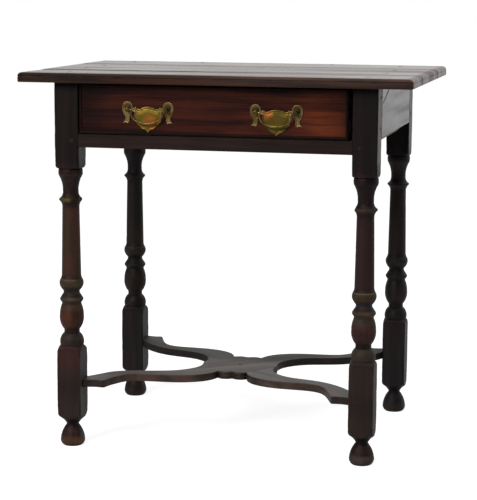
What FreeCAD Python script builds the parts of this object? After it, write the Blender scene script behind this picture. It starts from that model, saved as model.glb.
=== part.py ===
import FreeCAD, Part
import math
import os

os.makedirs("parts", exist_ok=True)
V = FreeCAD.Vector

# Tavern table with one drawer, four cup-turned legs and a serpentine cross stretcher.
# Millimetres. +Z is up, the drawer faces -Y, +X is to the right of someone sitting at the drawer.
# The origin is on the floor, under the middle of the top.

# ---------------------------------------------------------------- driving dimensions

# Top: three boards laid lengthwise, with a moulded edge all round
table_height = 710.0
top_length = 733.0
top_depth = 509.0
top_thickness = 18.5
front_board_depth = 126.0
back_board_depth = 151.5
moulding_upper_height = 6.5
moulding_upper_round = 4.5
moulding_lower_round = 2.8
moulding_quirk_round = 1.2
top_corner_radius = 5.0
top_overhang_x = 64.5
top_overhang_y = 22.5
board_joint_groove = 0.8

# Legs: square blocks at the joints, turned between
leg_square = 46.0
leg_arris = 1.6
upper_block_length = 145.5
lower_block_bottom = 68.0
lower_block_length = 113.0

# Turned work from the floor up to the lower block
foot_base_radius = 17.5
foot_belly_radius = 23.2
foot_belly_height = 13.0
foot_neck_radius = 11.8
foot_neck_height = 40.0
foot_neck_length = 2.0
lower_shoulder_radius = 23.0
lower_shoulder_height = 14.0

# Turned work above the lower block, each member by its radius and its own height
block_cap_radius = 23.2
block_cap_height = 12.0
ball_seat_radius = 21.9
ball_seat_height = 1.5
ball_height = 24.0
vase_neck_radius = 14.7
vase_neck_height = 6.5
vase_radius = 22.9
vase_lower_height = 26.5
vase_upper_height = 22.5
ring_neck_radius = 18.4
ring_neck_height = 1.5
ring_radius = 22.0
ring_flank_height = 5.5
ring_edge_height = 3.5
waist_radius = 15.3
waist_flank_height = 10.5
waist_height = 4.0
torus_seat_radius = 21.6
torus_flank_height = 9.0
torus_height = 12.0
shaft_foot_radius = 18.3
shaft_cove_height = 9.0
shaft_head_radius = 16.1

# Turned work under the upper block, measured down from the block
pommel_height = 14.5
pommel_radius = 26.0
cup_groove_radius = 21.0
cup_groove_height = 2.0
cup_radius = 22.4
cup_rim_height = 11.5
cup_bell_height = 24.0
upper_neck_radius = 14.9
upper_neck_height = 9.0
collar_upper_height = 11.5
collar_radius = 22.0
collar_edge_height = 2.5
collar_lower_height = 13.0
collar_chip_depth = 4.2
collar_chip_height = 9.0
collar_chip_side = 11.5
collar_chip_tilt = 18.0

# How far a turned curve stands from its chord, as a share of the chord
slight_swell = 0.05
foot_swell = 0.075
swell = 0.10
ball_swell = 0.15
round_swell = 0.16
slight_hollow = -0.06
hollow = -0.12

# Frame: three aprons and, under the drawer, one rail
drawer_opening_height = 94.5
drawer_rail_height = 25.0
drawer_rail_thickness = 22.0
apron_height = 92.5
apron_thickness = 20.0
frame_arris = 1.0
tenon_thickness = 8.0
tenon_length = 26.0
tenon_shoulder = 8.0
rail_tenon_shoulder = 3.0
tenon_play = 0.15

# Pegs that hold the joints
joint_peg_radius = 3.5
joint_peg_length = 36.0
joint_peg_setback = 13.0
joint_peg_stand = 0.4
side_peg_spread = 28.0
back_peg_spread = 12.0
top_peg_radius = 4.0
top_peg_length = 52.0
apron_peg_inset = 60.0

# Runners and guides that carry the drawer
runner_thickness = 12.0
runner_ledge = 18.0
guide_height = 15.0
stop_height = 16.0
nail_shank = 1.5
nail_head_radius = 3.2
nail_head_thickness = 1.2
runner_nail_length = 22.0
runner_nail_spacing = 130.0

# Drawer, worn on one side so that it sits off centre in its opening
drawer_gap_left = 2.5
drawer_gap_right = 6.5
drawer_gap_top = 1.5
drawer_gap_bottom = 1.0
drawer_running_gap = 0.3
drawer_face_setback = 1.0
drawer_end_room = 23.0
drawer_front_thickness = 20.0
drawer_side_thickness = 10.0
drawer_side_gap = 3.0
drawer_back_thickness = 11.0
drawer_back_drop = 5.0
drawer_bottom_thickness = 7.0
drawer_bottom_rise = 6.0
drawer_groove_depth = 5.0
drawer_bottom_front_width = 190.0
bead_width = 5.5
bead_depth = 8.0
bead_stand = 2.5
dovetail_count = 2
dovetail_flare = 3.5
dovetail_neck = 18.0
bottom_nail_length = 20.0
bottom_nail_spacing = 105.0

# Brasses: cast back plate, two posts and a hanging bail on each
handle_offset = 120.0
handle_axis_rise = 0.5
plate_thickness = 1.8
plate_step_inset = 0.5
plate_step_height = 0.7
ear_centre_x = 38.5
ear_centre_rise = 4.3
ear_radius = 10.3
ear_groove_inset = 2.2
ear_groove_width = 1.4
ear_groove_depth = 0.6
ear_neck_drop = 13.0
ear_neck_width = 8.5
ear_foot_drop = 25.5
ear_foot_reach = 11.0
ear_foot_width = 12.5
shield_half_width = 26.0
shield_crown_rise = 5.5
shield_valley_x = 13.5
shield_valley_drop = 0.5
shield_cusp_x = 23.0
shield_cusp_rise = 5.0
shield_notch_x = 19.0
shield_notch_drop = 27.5
shield_lobe_x = 10.5
shield_lobe_drop = 35.5
shield_tip_drop = 40.8
bridge_half_height = 4.5
post_x = 36.5
post_radius = 4.4
post_stand = 11.0
post_dome = 1.5
post_shank_radius = 2.2
post_shank_end = 3.5
nut_sides = 4
nut_across = 9.0
nut_thickness = 3.0
bail_standoff = 7.0
bail_half_width = 29.3
bail_drop = 25.2
bail_end_radius = 1.7
bail_grip_radius = 2.4
bail_pin_radius = 1.5
bail_pin_length = 6.0
bail_pin_play = 0.1
bail_straight_drop = 8.0
bail_sections = 12

# Cross stretcher: two serpentine pieces halved over each other
stretcher_top_height = 126.3
stretcher_thickness = 14.0
crotch_x = 75.0
notch_x = 29.0
notch_y = 68.0
lobe_overlap = 4.0
lobe_set_in = 11.5
lobe_wear = 3.5
shoulder_x = 56.0
shoulder_y = 110.0
arm_outer_y = 128.0
arm_outer_x = 104.0
arm_bend_out_x = 72.0
arm_bend_out_y = 44.0
ankle_out_x = 41.0
ankle_out_y = 14.0
cusp_out_x = 33.0
cusp_out_y = 35.5
cusp_round = 6.0
cusp_dip_out_x = 19.0
cusp_dip_out_y = 33.0
arm_end_out_y = 37.5
crotch_bend_x = 84.0
crotch_bend_y = 58.0
arm_inner_x = 116.0
arm_inner_y = 86.0
knee_out_x = 84.0
knee_out_y = 82.0
calf_out_x = 28.0
calf_out_y = 43.0
stretcher_tenon_thickness = 8.0
stretcher_tenon_width = 24.0
stretcher_tenon_length = 24.0
stretcher_tenon_edge = 7.0
stretcher_peg_setback = 12.0
centre_pin_radius = 4.0
centre_pin_head = 0.6

# ---------------------------------------------------------------- places that follow

half_leg = leg_square / 2.0
half_length = top_length / 2.0
half_depth = top_depth / 2.0
frame_x = half_length - top_overhang_x
frame_y = half_depth - top_overhang_y
leg_x = frame_x - half_leg
leg_y = frame_y - half_leg
inner_x = frame_x - leg_square
inner_y = frame_y - leg_square
underside = table_height - top_thickness
rail_top = underside - drawer_opening_height
rail_bottom = rail_top - drawer_rail_height
apron_bottom = underside - apron_height
far = 2.0 * top_length


# ---------------------------------------------------------------- small helpers

def box(x0, x1, y0, y1, z0, z1):
    return Part.makeBox(x1 - x0, y1 - y0, z1 - z0, V(x0, y0, z0))


def rod(radius, start, end):
    way = end - start
    return Part.makeCylinder(radius, way.Length, start, way)


def rounded(shape, radius, chosen):
    edges = [edge for edge in shape.Edges if chosen(edge)]
    return shape.makeFillet(radius, edges) if edges else shape


def eased(shape, size, chosen):
    edges = [edge for edge in shape.Edges if chosen(edge)]
    return shape.makeChamfer(size, edges)


def runs_along(axis):
    """True for a straight edge that lies along the given axis, 0 for X, 1 for Y and 2 for Z."""
    def test(edge):
        way = edge.Vertexes[-1].Point - edge.Vertexes[0].Point
        return way.Length > 0 and abs(abs(way[axis]) - way.Length) < 1e-6
    return test


def at_height(height):
    def test(edge):
        bounds = edge.BoundBox
        return abs(bounds.ZMin - height) < 1e-6 and abs(bounds.ZMax - height) < 1e-6
    return test


def upright_at(point):
    """The vertical edge that stands over a point of the floor plan."""
    def test(edge):
        bounds = edge.BoundBox
        return runs_along(2)(edge) and abs(bounds.XMin - point.x) < 1e-6 and abs(bounds.YMin - point.y) < 1e-6
    return test


def lower_arrises(axis, height):
    """The straight edges along an axis that lie at a height."""
    def test(edge):
        return runs_along(axis)(edge) and at_height(height)(edge)
    return test


def mirrored_x(shape):
    return shape.mirror(V(0, 0, 0), V(1, 0, 0))


def mirrored_y(shape):
    return shape.mirror(V(0, 0, 0), V(0, 1, 0))


def smooth(points):
    curve = Part.BSplineCurve()
    curve.interpolate(points)
    return curve.toShape()


def line(start, end):
    return Part.makeLine(start, end)


def bowed(start, end, share):
    """An arc whose middle stands off its chord by a share of the chord, to the right of the way."""
    way = end - start
    side = V(way.z, 0, -way.x) if abs(way.y) < 1e-9 else V(way.y, -way.x, 0)
    middle = (start + end) * 0.5 + side * share
    return Part.Arc(start, middle, end).toShape()


def save(name, shape):
    pieces = shape if isinstance(shape, list) else [shape]
    solids = [solid for piece in pieces for solid in piece.Solids]
    result = solids[0] if len(solids) == 1 else Part.makeCompound(solids)
    if not result.isValid():
        raise ValueError(name + " is not a valid solid")
    result.exportStep("parts/" + name + ".step")
    print(name, len(solids), round(sum(solid.Volume for solid in solids) / 1000.0, 2), "cm3")


# ---------------------------------------------------------------- pegs, worked out first

def joint_peg(start, way):
    """A peg from just proud of the leg's face, inward along the way."""
    head = start - way * joint_peg_stand
    return rod(joint_peg_radius, head, start + way * joint_peg_length)


peg_inset = half_leg - joint_peg_setback
apron_middle = (apron_bottom + underside) / 2.0
rail_middle = (rail_bottom + rail_top) / 2.0
stretcher_middle = stretcher_top_height - stretcher_thickness / 2.0

side_pegs = []
back_pegs = []
rail_pegs = []
stretcher_pegs = []
for side in (-1, 1):
    inward_x = V(-side, 0, 0)
    for end in (-1, 1):
        for level in (-1, 1):
            height = apron_middle + level * side_peg_spread
            side_pegs.append(joint_peg(V(side * frame_x, end * (leg_y - peg_inset), height), inward_x))
        stretcher_peg_x = side * (inner_x + stretcher_peg_setback)
        stretcher_pegs.append(joint_peg(V(stretcher_peg_x, end * frame_y, stretcher_middle), V(0, -end, 0)))
    for level in (-1, 1):
        height = apron_middle + level * back_peg_spread
        back_pegs.append(joint_peg(V(side * (leg_x - peg_inset), frame_y, height), V(0, -1, 0)))
    rail_pegs.append(joint_peg(V(side * (leg_x - peg_inset), -frame_y, rail_middle), V(0, 1, 0)))
frame_pegs = side_pegs + back_pegs + rail_pegs

front_joint_y = front_board_depth - half_depth
back_joint_y = half_depth - back_board_depth
apron_centre_x = frame_x - apron_thickness / 2.0
apron_centre_y = frame_y - apron_thickness / 2.0


def top_peg(x, y):
    return rod(top_peg_radius, V(x, y, table_height - top_peg_length), V(x, y, table_height))


top_pegs = []
for side in (-1, 1):
    top_pegs.append(top_peg(side * leg_x, -leg_y))
    top_pegs.append(top_peg(side * leg_x, leg_y))
    top_pegs.append(top_peg(side * apron_centre_x, front_joint_y + apron_peg_inset))
    top_pegs.append(top_peg(side * apron_centre_x, back_joint_y - apron_peg_inset))
    top_pegs.append(top_peg(side * (inner_x - 2.0 * apron_peg_inset), apron_centre_y))


def drilled(shape, pegs):
    for peg in pegs:
        if shape.BoundBox.intersect(peg.BoundBox):
            shape = shape.cut(peg)
    return shape


# ---------------------------------------------------------------- the top

def moulded_slab(bottom, top, lower_round, upper_round):
    slab = box(-half_length, half_length, -half_depth, half_depth, bottom, top)
    slab = rounded(slab, top_corner_radius, runs_along(2))
    slab = rounded(slab, upper_round, at_height(top))
    return rounded(slab, lower_round, at_height(bottom))


quirk_height = table_height - moulding_upper_height
upper_slab = moulded_slab(quirk_height, table_height, moulding_quirk_round, moulding_upper_round)
lower_slab = moulded_slab(underside, quirk_height, moulding_lower_round, moulding_quirk_round)
whole_top = upper_slab.fuse(lower_slab).removeSplitter()


def joint_groove(y):
    """The small V that the eased edges of two boards leave between them."""
    width = board_joint_groove
    corners = [V(-half_length, y - width, table_height), V(-half_length, y + width, table_height),
               V(-half_length, y, table_height - width)]
    face = Part.Face(Part.makePolygon(corners + corners[:1]))
    return face.extrude(V(top_length, 0, 0))


grooved_top = whole_top.cut(joint_groove(front_joint_y)).cut(joint_groove(back_joint_y))


def top_board(y0, y1):
    board = grooved_top.common(box(-far, far, y0, y1, 0, far))
    return drilled(board, top_pegs)


save("top_board_front", top_board(-far, front_joint_y))
save("top_board_middle", top_board(front_joint_y, back_joint_y))
save("top_board_back", top_board(back_joint_y, far))
save("top_pegs", top_pegs)


# ---------------------------------------------------------------- aprons and drawer rail

def tenoned(body_box, tenon_box):
    return body_box.fuse(tenon_box).removeSplitter()


tenon_low = apron_bottom + tenon_shoulder
tenon_high = underside - tenon_shoulder
side_tenon = box(apron_centre_x - tenon_thickness / 2.0, apron_centre_x + tenon_thickness / 2.0,
                 -inner_y - tenon_length, inner_y + tenon_length, tenon_low, tenon_high)
back_tenon = box(-inner_x - tenon_length, inner_x + tenon_length,
                 apron_centre_y - tenon_thickness / 2.0, apron_centre_y + tenon_thickness / 2.0,
                 tenon_low, tenon_high)
rail_centre_y = -frame_y + drawer_rail_thickness / 2.0
rail_tenon = box(-inner_x - tenon_length, inner_x + tenon_length,
                 rail_centre_y - tenon_thickness / 2.0, rail_centre_y + tenon_thickness / 2.0,
                 rail_bottom + rail_tenon_shoulder, rail_top - rail_tenon_shoulder)

side_board = box(frame_x - apron_thickness, frame_x, -inner_y, inner_y, apron_bottom, underside)
side_board = eased(side_board, frame_arris, lower_arrises(1, apron_bottom))
side_apron = drilled(tenoned(side_board, side_tenon), side_pegs + top_pegs)

back_board = box(-inner_x, inner_x, frame_y - apron_thickness, frame_y, apron_bottom, underside)
back_board = eased(back_board, frame_arris, lower_arrises(0, apron_bottom))
back_apron = drilled(tenoned(back_board, back_tenon), back_pegs + top_pegs)

rail_board = box(-inner_x, inner_x, -frame_y, -frame_y + drawer_rail_thickness, rail_bottom, rail_top)
rail_board = eased(rail_board, frame_arris, runs_along(0))
drawer_rail = drilled(tenoned(rail_board, rail_tenon), rail_pegs)

save("side_apron_right", side_apron)
save("side_apron_left", drilled(mirrored_x(tenoned(side_board, side_tenon)), side_pegs + top_pegs))
save("back_apron", back_apron)
save("drawer_rail", drawer_rail)
save("frame_pegs", frame_pegs)


# ---------------------------------------------------------------- legs

class Turning:
    """A profile in the plane of radius and height, drawn upward from the floor."""

    def __init__(self, radius, height):
        self.start = V(radius, 0, height)
        self.point = self.start
        self.edges = []

    def straight(self, radius, height):
        end = V(radius, 0, height)
        self.edges.append(line(self.point, end))
        self.point = end

    def bow(self, radius, height, share):
        end = V(radius, 0, height)
        self.edges.append(bowed(self.point, end, share))
        self.point = end

    def rise(self, length, radius=None, share=None):
        """Go up by a length, to a radius, straight or bowed."""
        height = self.point.z + length
        radius = self.point.x if radius is None else radius
        if share is None:
            self.straight(radius, height)
        else:
            self.bow(radius, height, share)

    def solid(self):
        on_axis_top = V(0, 0, self.point.z)
        on_axis_bottom = V(0, 0, self.start.z)
        closing = [line(self.point, on_axis_top), line(on_axis_top, on_axis_bottom),
                   line(on_axis_bottom, self.start)]
        face = Part.Face(Part.Wire(self.edges + closing))
        return face.revolve(V(0, 0, 0), V(0, 0, 1), 360)


block_reach = half_leg * math.sqrt(2.0)
upper_block_bottom = underside - upper_block_length
cup_top = upper_block_bottom - pommel_height - cup_groove_height
neck_top = cup_top - cup_rim_height - cup_bell_height
collar_top = neck_top - upper_neck_height - collar_upper_height
collar_bottom = collar_top - collar_edge_height
shaft_top = collar_bottom - collar_lower_height

turning = Turning(foot_base_radius, 0.0)
turning.bow(foot_belly_radius, foot_belly_height, round_swell)
turning.bow(foot_neck_radius, foot_neck_height, foot_swell)
turning.rise(foot_neck_length)
turning.bow(lower_shoulder_radius, lower_block_bottom - lower_shoulder_height, slight_hollow)
turning.bow(block_reach, lower_block_bottom, swell)
turning.rise(lower_block_length)
turning.rise(block_cap_height, block_cap_radius, slight_swell)
turning.rise(ball_seat_height, ball_seat_radius)
turning.rise(ball_height, vase_neck_radius, ball_swell)
turning.rise(vase_neck_height)
turning.rise(vase_lower_height, vase_radius, swell)
turning.rise(vase_upper_height, ring_neck_radius, slight_swell)
turning.rise(ring_neck_height)
turning.rise(ring_flank_height, ring_radius, slight_hollow)
turning.rise(ring_edge_height)
turning.rise(waist_flank_height, waist_radius)
turning.rise(waist_height)
turning.rise(torus_flank_height, torus_seat_radius, slight_swell)
turning.rise(torus_height, torus_seat_radius, swell)
turning.rise(shaft_cove_height, shaft_foot_radius, slight_hollow)
turning.straight(shaft_head_radius, shaft_top)
turning.bow(collar_radius, collar_bottom, hollow)
turning.rise(collar_edge_height)
turning.rise(collar_upper_height, upper_neck_radius, hollow)
turning.rise(upper_neck_height)
turning.rise(cup_bell_height, cup_radius, slight_hollow)
turning.rise(cup_rim_height, cup_radius, slight_swell)
turning.rise(cup_groove_height, cup_groove_radius)
turning.straight(pommel_radius, cup_top + cup_groove_height)
turning.bow(block_reach, upper_block_bottom, round_swell)
turning.straight(block_reach, underside)

leg_stock = box(-half_leg, half_leg, -half_leg, half_leg, 0, underside)
leg_stock = eased(leg_stock, leg_arris, runs_along(2))
turned_leg = leg_stock.common(turning.solid())


def grown(shape, play):
    """The shape's own box, larger by the play on every side: a mortise for a square tenon."""
    room = shape.BoundBox
    return box(room.XMin - play, room.XMax + play, room.YMin - play, room.YMax + play,
               room.ZMin - play, room.ZMax + play)


def collar_chip(side):
    """A flake broken from the sharp collar, on the side that faces the middle of the table."""
    middle = (collar_top + collar_bottom) / 2.0
    half_height = collar_chip_height / 2.0
    inner = collar_radius - collar_chip_depth
    chip = box(inner, far, -collar_radius, collar_chip_side, middle - half_height, middle + half_height)
    tilted = chip.rotate(V(0, 0, middle), V(0, 1, 0), -collar_chip_tilt)
    return tilted if side > 0 else mirrored_x(tilted)


stretcher_tenon_y0 = inner_y + stretcher_tenon_edge
stretcher_tenon_y1 = stretcher_tenon_y0 + stretcher_tenon_width
stretcher_tenon = box(inner_x, inner_x + stretcher_tenon_length, stretcher_tenon_y0, stretcher_tenon_y1,
                      stretcher_middle - stretcher_tenon_thickness / 2.0,
                      stretcher_middle + stretcher_tenon_thickness / 2.0)


def placed_in(shape, side, end):
    """Move a shape drawn for the right back corner to one of the four corners."""
    if side < 0:
        shape = mirrored_x(shape)
    if end < 0:
        shape = mirrored_y(shape)
    return shape


def finished_leg(side, end, chipped):
    leg = turned_leg.copy()
    if chipped:
        leg = leg.cut(collar_chip(-side))
    leg.translate(V(side * leg_x, end * leg_y, 0))
    apron_tenon = side_tenon if side > 0 else mirrored_x(side_tenon)
    cross_tenon = back_tenon if end > 0 else rail_tenon
    for tenon in (apron_tenon, cross_tenon, placed_in(stretcher_tenon, side, end)):
        leg = leg.cut(grown(tenon, tenon_play))
    return drilled(leg, frame_pegs + stretcher_pegs + top_pegs)


save("leg_front_left", finished_leg(-1, -1, True))
save("leg_front_right", finished_leg(1, -1, True))
save("leg_back_left", finished_leg(-1, 1, False))
save("leg_back_right", finished_leg(1, 1, False))


# ---------------------------------------------------------------- cross stretcher

# One arm, drawn for the right back corner. Points near the centre are measured from the centre,
# and points near the leg from the leg's inner corner.
crotch = V(crotch_x, 0, 0)
notch = V(notch_x, notch_y, 0)
arm_end_outer = V(inner_x, inner_y + arm_end_out_y, 0)
arm_end_inner = V(inner_x, inner_y, 0)
cusp = V(inner_x - cusp_out_x, inner_y + cusp_out_y, 0)
ankle = V(inner_x - ankle_out_x, inner_y + ankle_out_y, 0)
cusp_dip = V(inner_x - cusp_dip_out_x, inner_y + cusp_dip_out_y, 0)

outer_edge = smooth([notch, V(shoulder_x, shoulder_y, 0), V(arm_outer_x, arm_outer_y, 0),
                     V(inner_x - arm_bend_out_x, inner_y - arm_bend_out_y, 0), ankle, cusp])
toe_edge = smooth([cusp, cusp_dip, arm_end_outer])
inner_edge = smooth([arm_end_inner, V(inner_x - calf_out_x, inner_y - calf_out_y, 0),
                     V(inner_x - knee_out_x, inner_y - knee_out_y, 0),
                     V(arm_inner_x, arm_inner_y, 0), V(crotch_bend_x, crotch_bend_y, 0), crotch])
stretcher_bottom = stretcher_top_height - stretcher_thickness
full_rise = V(0, 0, stretcher_thickness)


def upright(edges, bottom, rise):
    face = Part.Face(Part.Wire(edges))
    face.translate(V(0, 0, bottom))
    return face.extrude(rise)


arm = upright([outer_edge, toe_edge, line(arm_end_outer, arm_end_inner), inner_edge, line(crotch, notch)],
              stretcher_bottom, full_rise)
arm = rounded(arm, cusp_round, upright_at(cusp)).fuse(stretcher_tenon)

# The centre, where the two pieces lap: straight to the four arms, with two lobes front and back.
lobe_x = notch_x / 2.0
lobe_radius = lobe_x + lobe_overlap
half_rise = full_rise * 0.5
centre_corners = [notch, V(-notch_x, notch_y, 0), -crotch, -notch, V(notch_x, -notch_y, 0), crotch, notch]


def lap(bottom):
    """One piece's half of the lap. The lobes on the upper one are worn round by feet."""
    floor = V(0, 0, bottom)
    plate = Part.Face(Part.makePolygon([corner + floor for corner in centre_corners])).extrude(half_rise)
    for side in (-1, 1):
        for end in (-1, 1):
            middle = V(side * lobe_x, end * (notch_y - lobe_set_in), bottom)
            lobe = rod(lobe_radius, middle, middle + half_rise)
            plate = plate.fuse(rounded(lobe, lobe_wear, at_height(stretcher_top_height)))
    return plate


pin_top = stretcher_top_height + centre_pin_head
centre_pin = rod(centre_pin_radius, V(0, 0, stretcher_bottom), V(0, 0, pin_top))
centre_pin = rounded(centre_pin, centre_pin_head, at_height(pin_top))


def stretcher_piece(first, second, lap_bottom):
    piece = lap(lap_bottom).fuse([placed_in(arm, *first), placed_in(arm, *second)]).removeSplitter()
    return drilled(piece, stretcher_pegs + [centre_pin])


save("stretcher_upper", stretcher_piece((-1, -1), (1, 1), stretcher_middle))
save("stretcher_lower", stretcher_piece((-1, 1), (1, -1), stretcher_bottom))
save("stretcher_pegs", stretcher_pegs)
save("stretcher_centre_pin", centre_pin)


# ---------------------------------------------------------------- runners, guides and stops

apron_inner_x = frame_x - apron_thickness
apron_inner_y = frame_y - apron_thickness
rail_inner_y = -frame_y + drawer_rail_thickness
runner_inner_x = inner_x - runner_ledge
drawer_face_y = -frame_y + drawer_face_setback
drawer_end_y = apron_inner_y - drawer_end_room

# The runner fills the width between the apron and its ledge, and is notched round both legs.
runner_bottom = rail_top - runner_thickness
runner = box(inner_x, apron_inner_x, -inner_y, inner_y, runner_bottom, rail_top)
runner = runner.fuse(box(runner_inner_x, inner_x, rail_inner_y, apron_inner_y, runner_bottom, rail_top))
runner = runner.removeSplitter()
guide = box(inner_x, apron_inner_x, -inner_y, inner_y, rail_top, rail_top + guide_height)
stop = box(runner_inner_x, inner_x, drawer_end_y + drawer_running_gap, apron_inner_y,
           rail_top, rail_top + stop_height)


def nail(head, way, length):
    shank = rod(nail_shank, head, head + way * length)
    return shank.fuse(rod(nail_head_radius, head - way * nail_head_thickness, head))


def runner_nail(y):
    middle_x = (inner_x + apron_inner_x) / 2.0
    return nail(V(middle_x, y, runner_bottom), V(0, 0, 1), runner_nail_length)


runner_nails = [runner_nail(step * runner_nail_spacing) for step in (-1, 0, 1)]
runner = drilled(runner, runner_nails)
guide = drilled(guide, runner_nails)
for name, shape in (("drawer_runner", runner), ("drawer_guide", guide)):
    save(name + "_right", shape)
    save(name + "_left", mirrored_x(shape))
save("drawer_stops", [stop, mirrored_x(stop)])
save("runner_nails", runner_nails + [mirrored_x(shape) for shape in runner_nails])


# ---------------------------------------------------------------- drawer

drawer_left = -inner_x + drawer_gap_left
drawer_right = inner_x - drawer_gap_right
drawer_low = rail_top + drawer_gap_bottom
drawer_high = underside - drawer_gap_top
front_back_y = drawer_face_y + drawer_front_thickness
lap_y = drawer_face_y + bead_depth
side_low = rail_top + drawer_running_gap
side_high = underside - drawer_side_gap
bottom_low = side_low + drawer_bottom_rise
bottom_high = bottom_low + drawer_bottom_thickness

# Front board, rebated all round for the bead
drawer_front = box(drawer_left, drawer_right, lap_y, front_back_y, drawer_low, drawer_high)
face_block = box(drawer_left + bead_width, drawer_right - bead_width, drawer_face_y, lap_y,
                 drawer_low + bead_width, drawer_high - bead_width)
drawer_front = drawer_front.fuse(face_block).removeSplitter()


def dovetails(x0, x1, low, high, neck_y, end_y):
    """Tails that widen from the neck to the end, spaced evenly up the board."""
    pitch = (high - low) / dovetail_count
    tails = []
    for index in range(dovetail_count):
        middle = low + pitch * (index + 0.5)
        neck = dovetail_neck / 2.0
        end = neck + dovetail_flare
        corners = [V(x0, neck_y, middle - neck), V(x0, end_y, middle - end),
                   V(x0, end_y, middle + end), V(x0, neck_y, middle + neck)]
        tails.append(Part.Face(Part.makePolygon(corners + corners[:1])).extrude(V(x1 - x0, 0, 0)))
    return tails


def drawer_side(x0, x1, groove_x0, groove_x1):
    board = box(x0, x1, front_back_y, drawer_end_y - drawer_back_thickness, side_low, side_high)
    front_tails = dovetails(x0, x1, drawer_low, side_high, front_back_y, lap_y)
    back_tails = dovetails(x0, x1, bottom_high, side_high - drawer_back_drop,
                           drawer_end_y - drawer_back_thickness, drawer_end_y)
    groove = box(groove_x0, groove_x1, -far, far, bottom_low, bottom_high)
    joined = board.fuse(front_tails + back_tails).removeSplitter()
    return joined, front_tails, back_tails, groove


left_in = drawer_left + drawer_side_thickness
right_in = drawer_right - drawer_side_thickness
bottom_left_x = left_in - drawer_groove_depth
bottom_right_x = right_in + drawer_groove_depth
bottom_front_y = front_back_y - drawer_groove_depth

left_side, left_front_tails, left_back_tails, left_groove = drawer_side(
    drawer_left, left_in, bottom_left_x, left_in)
right_side, right_front_tails, right_back_tails, right_groove = drawer_side(
    right_in, drawer_right, right_in, bottom_right_x)

drawer_back = box(drawer_left, drawer_right, drawer_end_y - drawer_back_thickness, drawer_end_y,
                  bottom_high, side_high - drawer_back_drop)
for tail in left_back_tails + right_back_tails:
    drawer_back = drawer_back.cut(tail)
for tail in left_front_tails + right_front_tails:
    drawer_front = drawer_front.cut(tail)

bottom_split_y = bottom_front_y + drawer_bottom_front_width
bottom_board = box(bottom_left_x, bottom_right_x, bottom_front_y, drawer_end_y, bottom_low, bottom_high)
drawer_front = drawer_front.cut(bottom_board)
left_side = left_side.cut(left_groove)
right_side = right_side.cut(right_groove)

bottom_nails = []
nail_count = int((right_in - left_in) / bottom_nail_spacing)
for index in range(nail_count):
    x = left_in + (right_in - left_in) * (index + 0.5) / nail_count
    y = drawer_end_y - drawer_back_thickness / 2.0
    bottom_nails.append(nail(V(x, y, bottom_low), V(0, 0, 1), bottom_nail_length))

bottom_front_board = bottom_board.common(box(-far, far, -far, bottom_split_y, 0, far))
bottom_back_board = bottom_board.common(box(-far, far, bottom_split_y, far, 0, far))
save("drawer_side_left", left_side)
save("drawer_side_right", right_side)
save("drawer_back", drilled(drawer_back, bottom_nails))
save("drawer_bottom_front", bottom_front_board)
save("drawer_bottom_back", drilled(bottom_back_board, bottom_nails))
save("drawer_bottom_nails", bottom_nails)

# Bead: a strip with a round nose, let into the rebate and mitred at the corners
bead_nose_y = drawer_face_y - bead_stand


def bead_strip(length):
    """A strip along +X from the origin. Its outer edge is at z = 0 and its width goes up."""
    back_low = V(0, lap_y, 0)
    back_high = V(0, lap_y, bead_width)
    face_high = V(0, drawer_face_y, bead_width)
    face_low = V(0, drawer_face_y, 0)
    nose = Part.Arc(face_high, V(0, bead_nose_y, bead_width / 2.0), face_low).toShape()
    section = Part.Face(Part.Wire([line(face_low, back_low), line(back_low, back_high),
                                   line(back_high, face_high), nose]))
    strip = section.extrude(V(length, 0, 0))
    corners = [V(0, bead_nose_y, 0), V(length, bead_nose_y, 0),
               V(length - bead_width, bead_nose_y, bead_width), V(bead_width, bead_nose_y, bead_width)]
    mitred = Part.Face(Part.makePolygon(corners + corners[:1])).extrude(V(0, lap_y - bead_nose_y, 0))
    return strip.common(mitred)


def placed_bead(length, quarter_turns, x, z):
    strip = bead_strip(length)
    strip.rotate(V(0, 0, 0), V(0, 1, 0), -90.0 * quarter_turns)
    strip.translate(V(x, 0, z))
    return strip


bead_long = drawer_right - drawer_left
bead_tall = drawer_high - drawer_low
save("drawer_bead_bottom", placed_bead(bead_long, 0, drawer_left, drawer_low))
save("drawer_bead_right", placed_bead(bead_tall, 1, drawer_right, drawer_low))
save("drawer_bead_top", placed_bead(bead_long, 2, drawer_right, drawer_high))
save("drawer_bead_left", placed_bead(bead_tall, 3, drawer_left, drawer_high))


# ---------------------------------------------------------------- brasses

# Drawn for a handle whose middle is at x = 0 and whose bail axis is at z = 0, on the plane y = 0.

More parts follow.
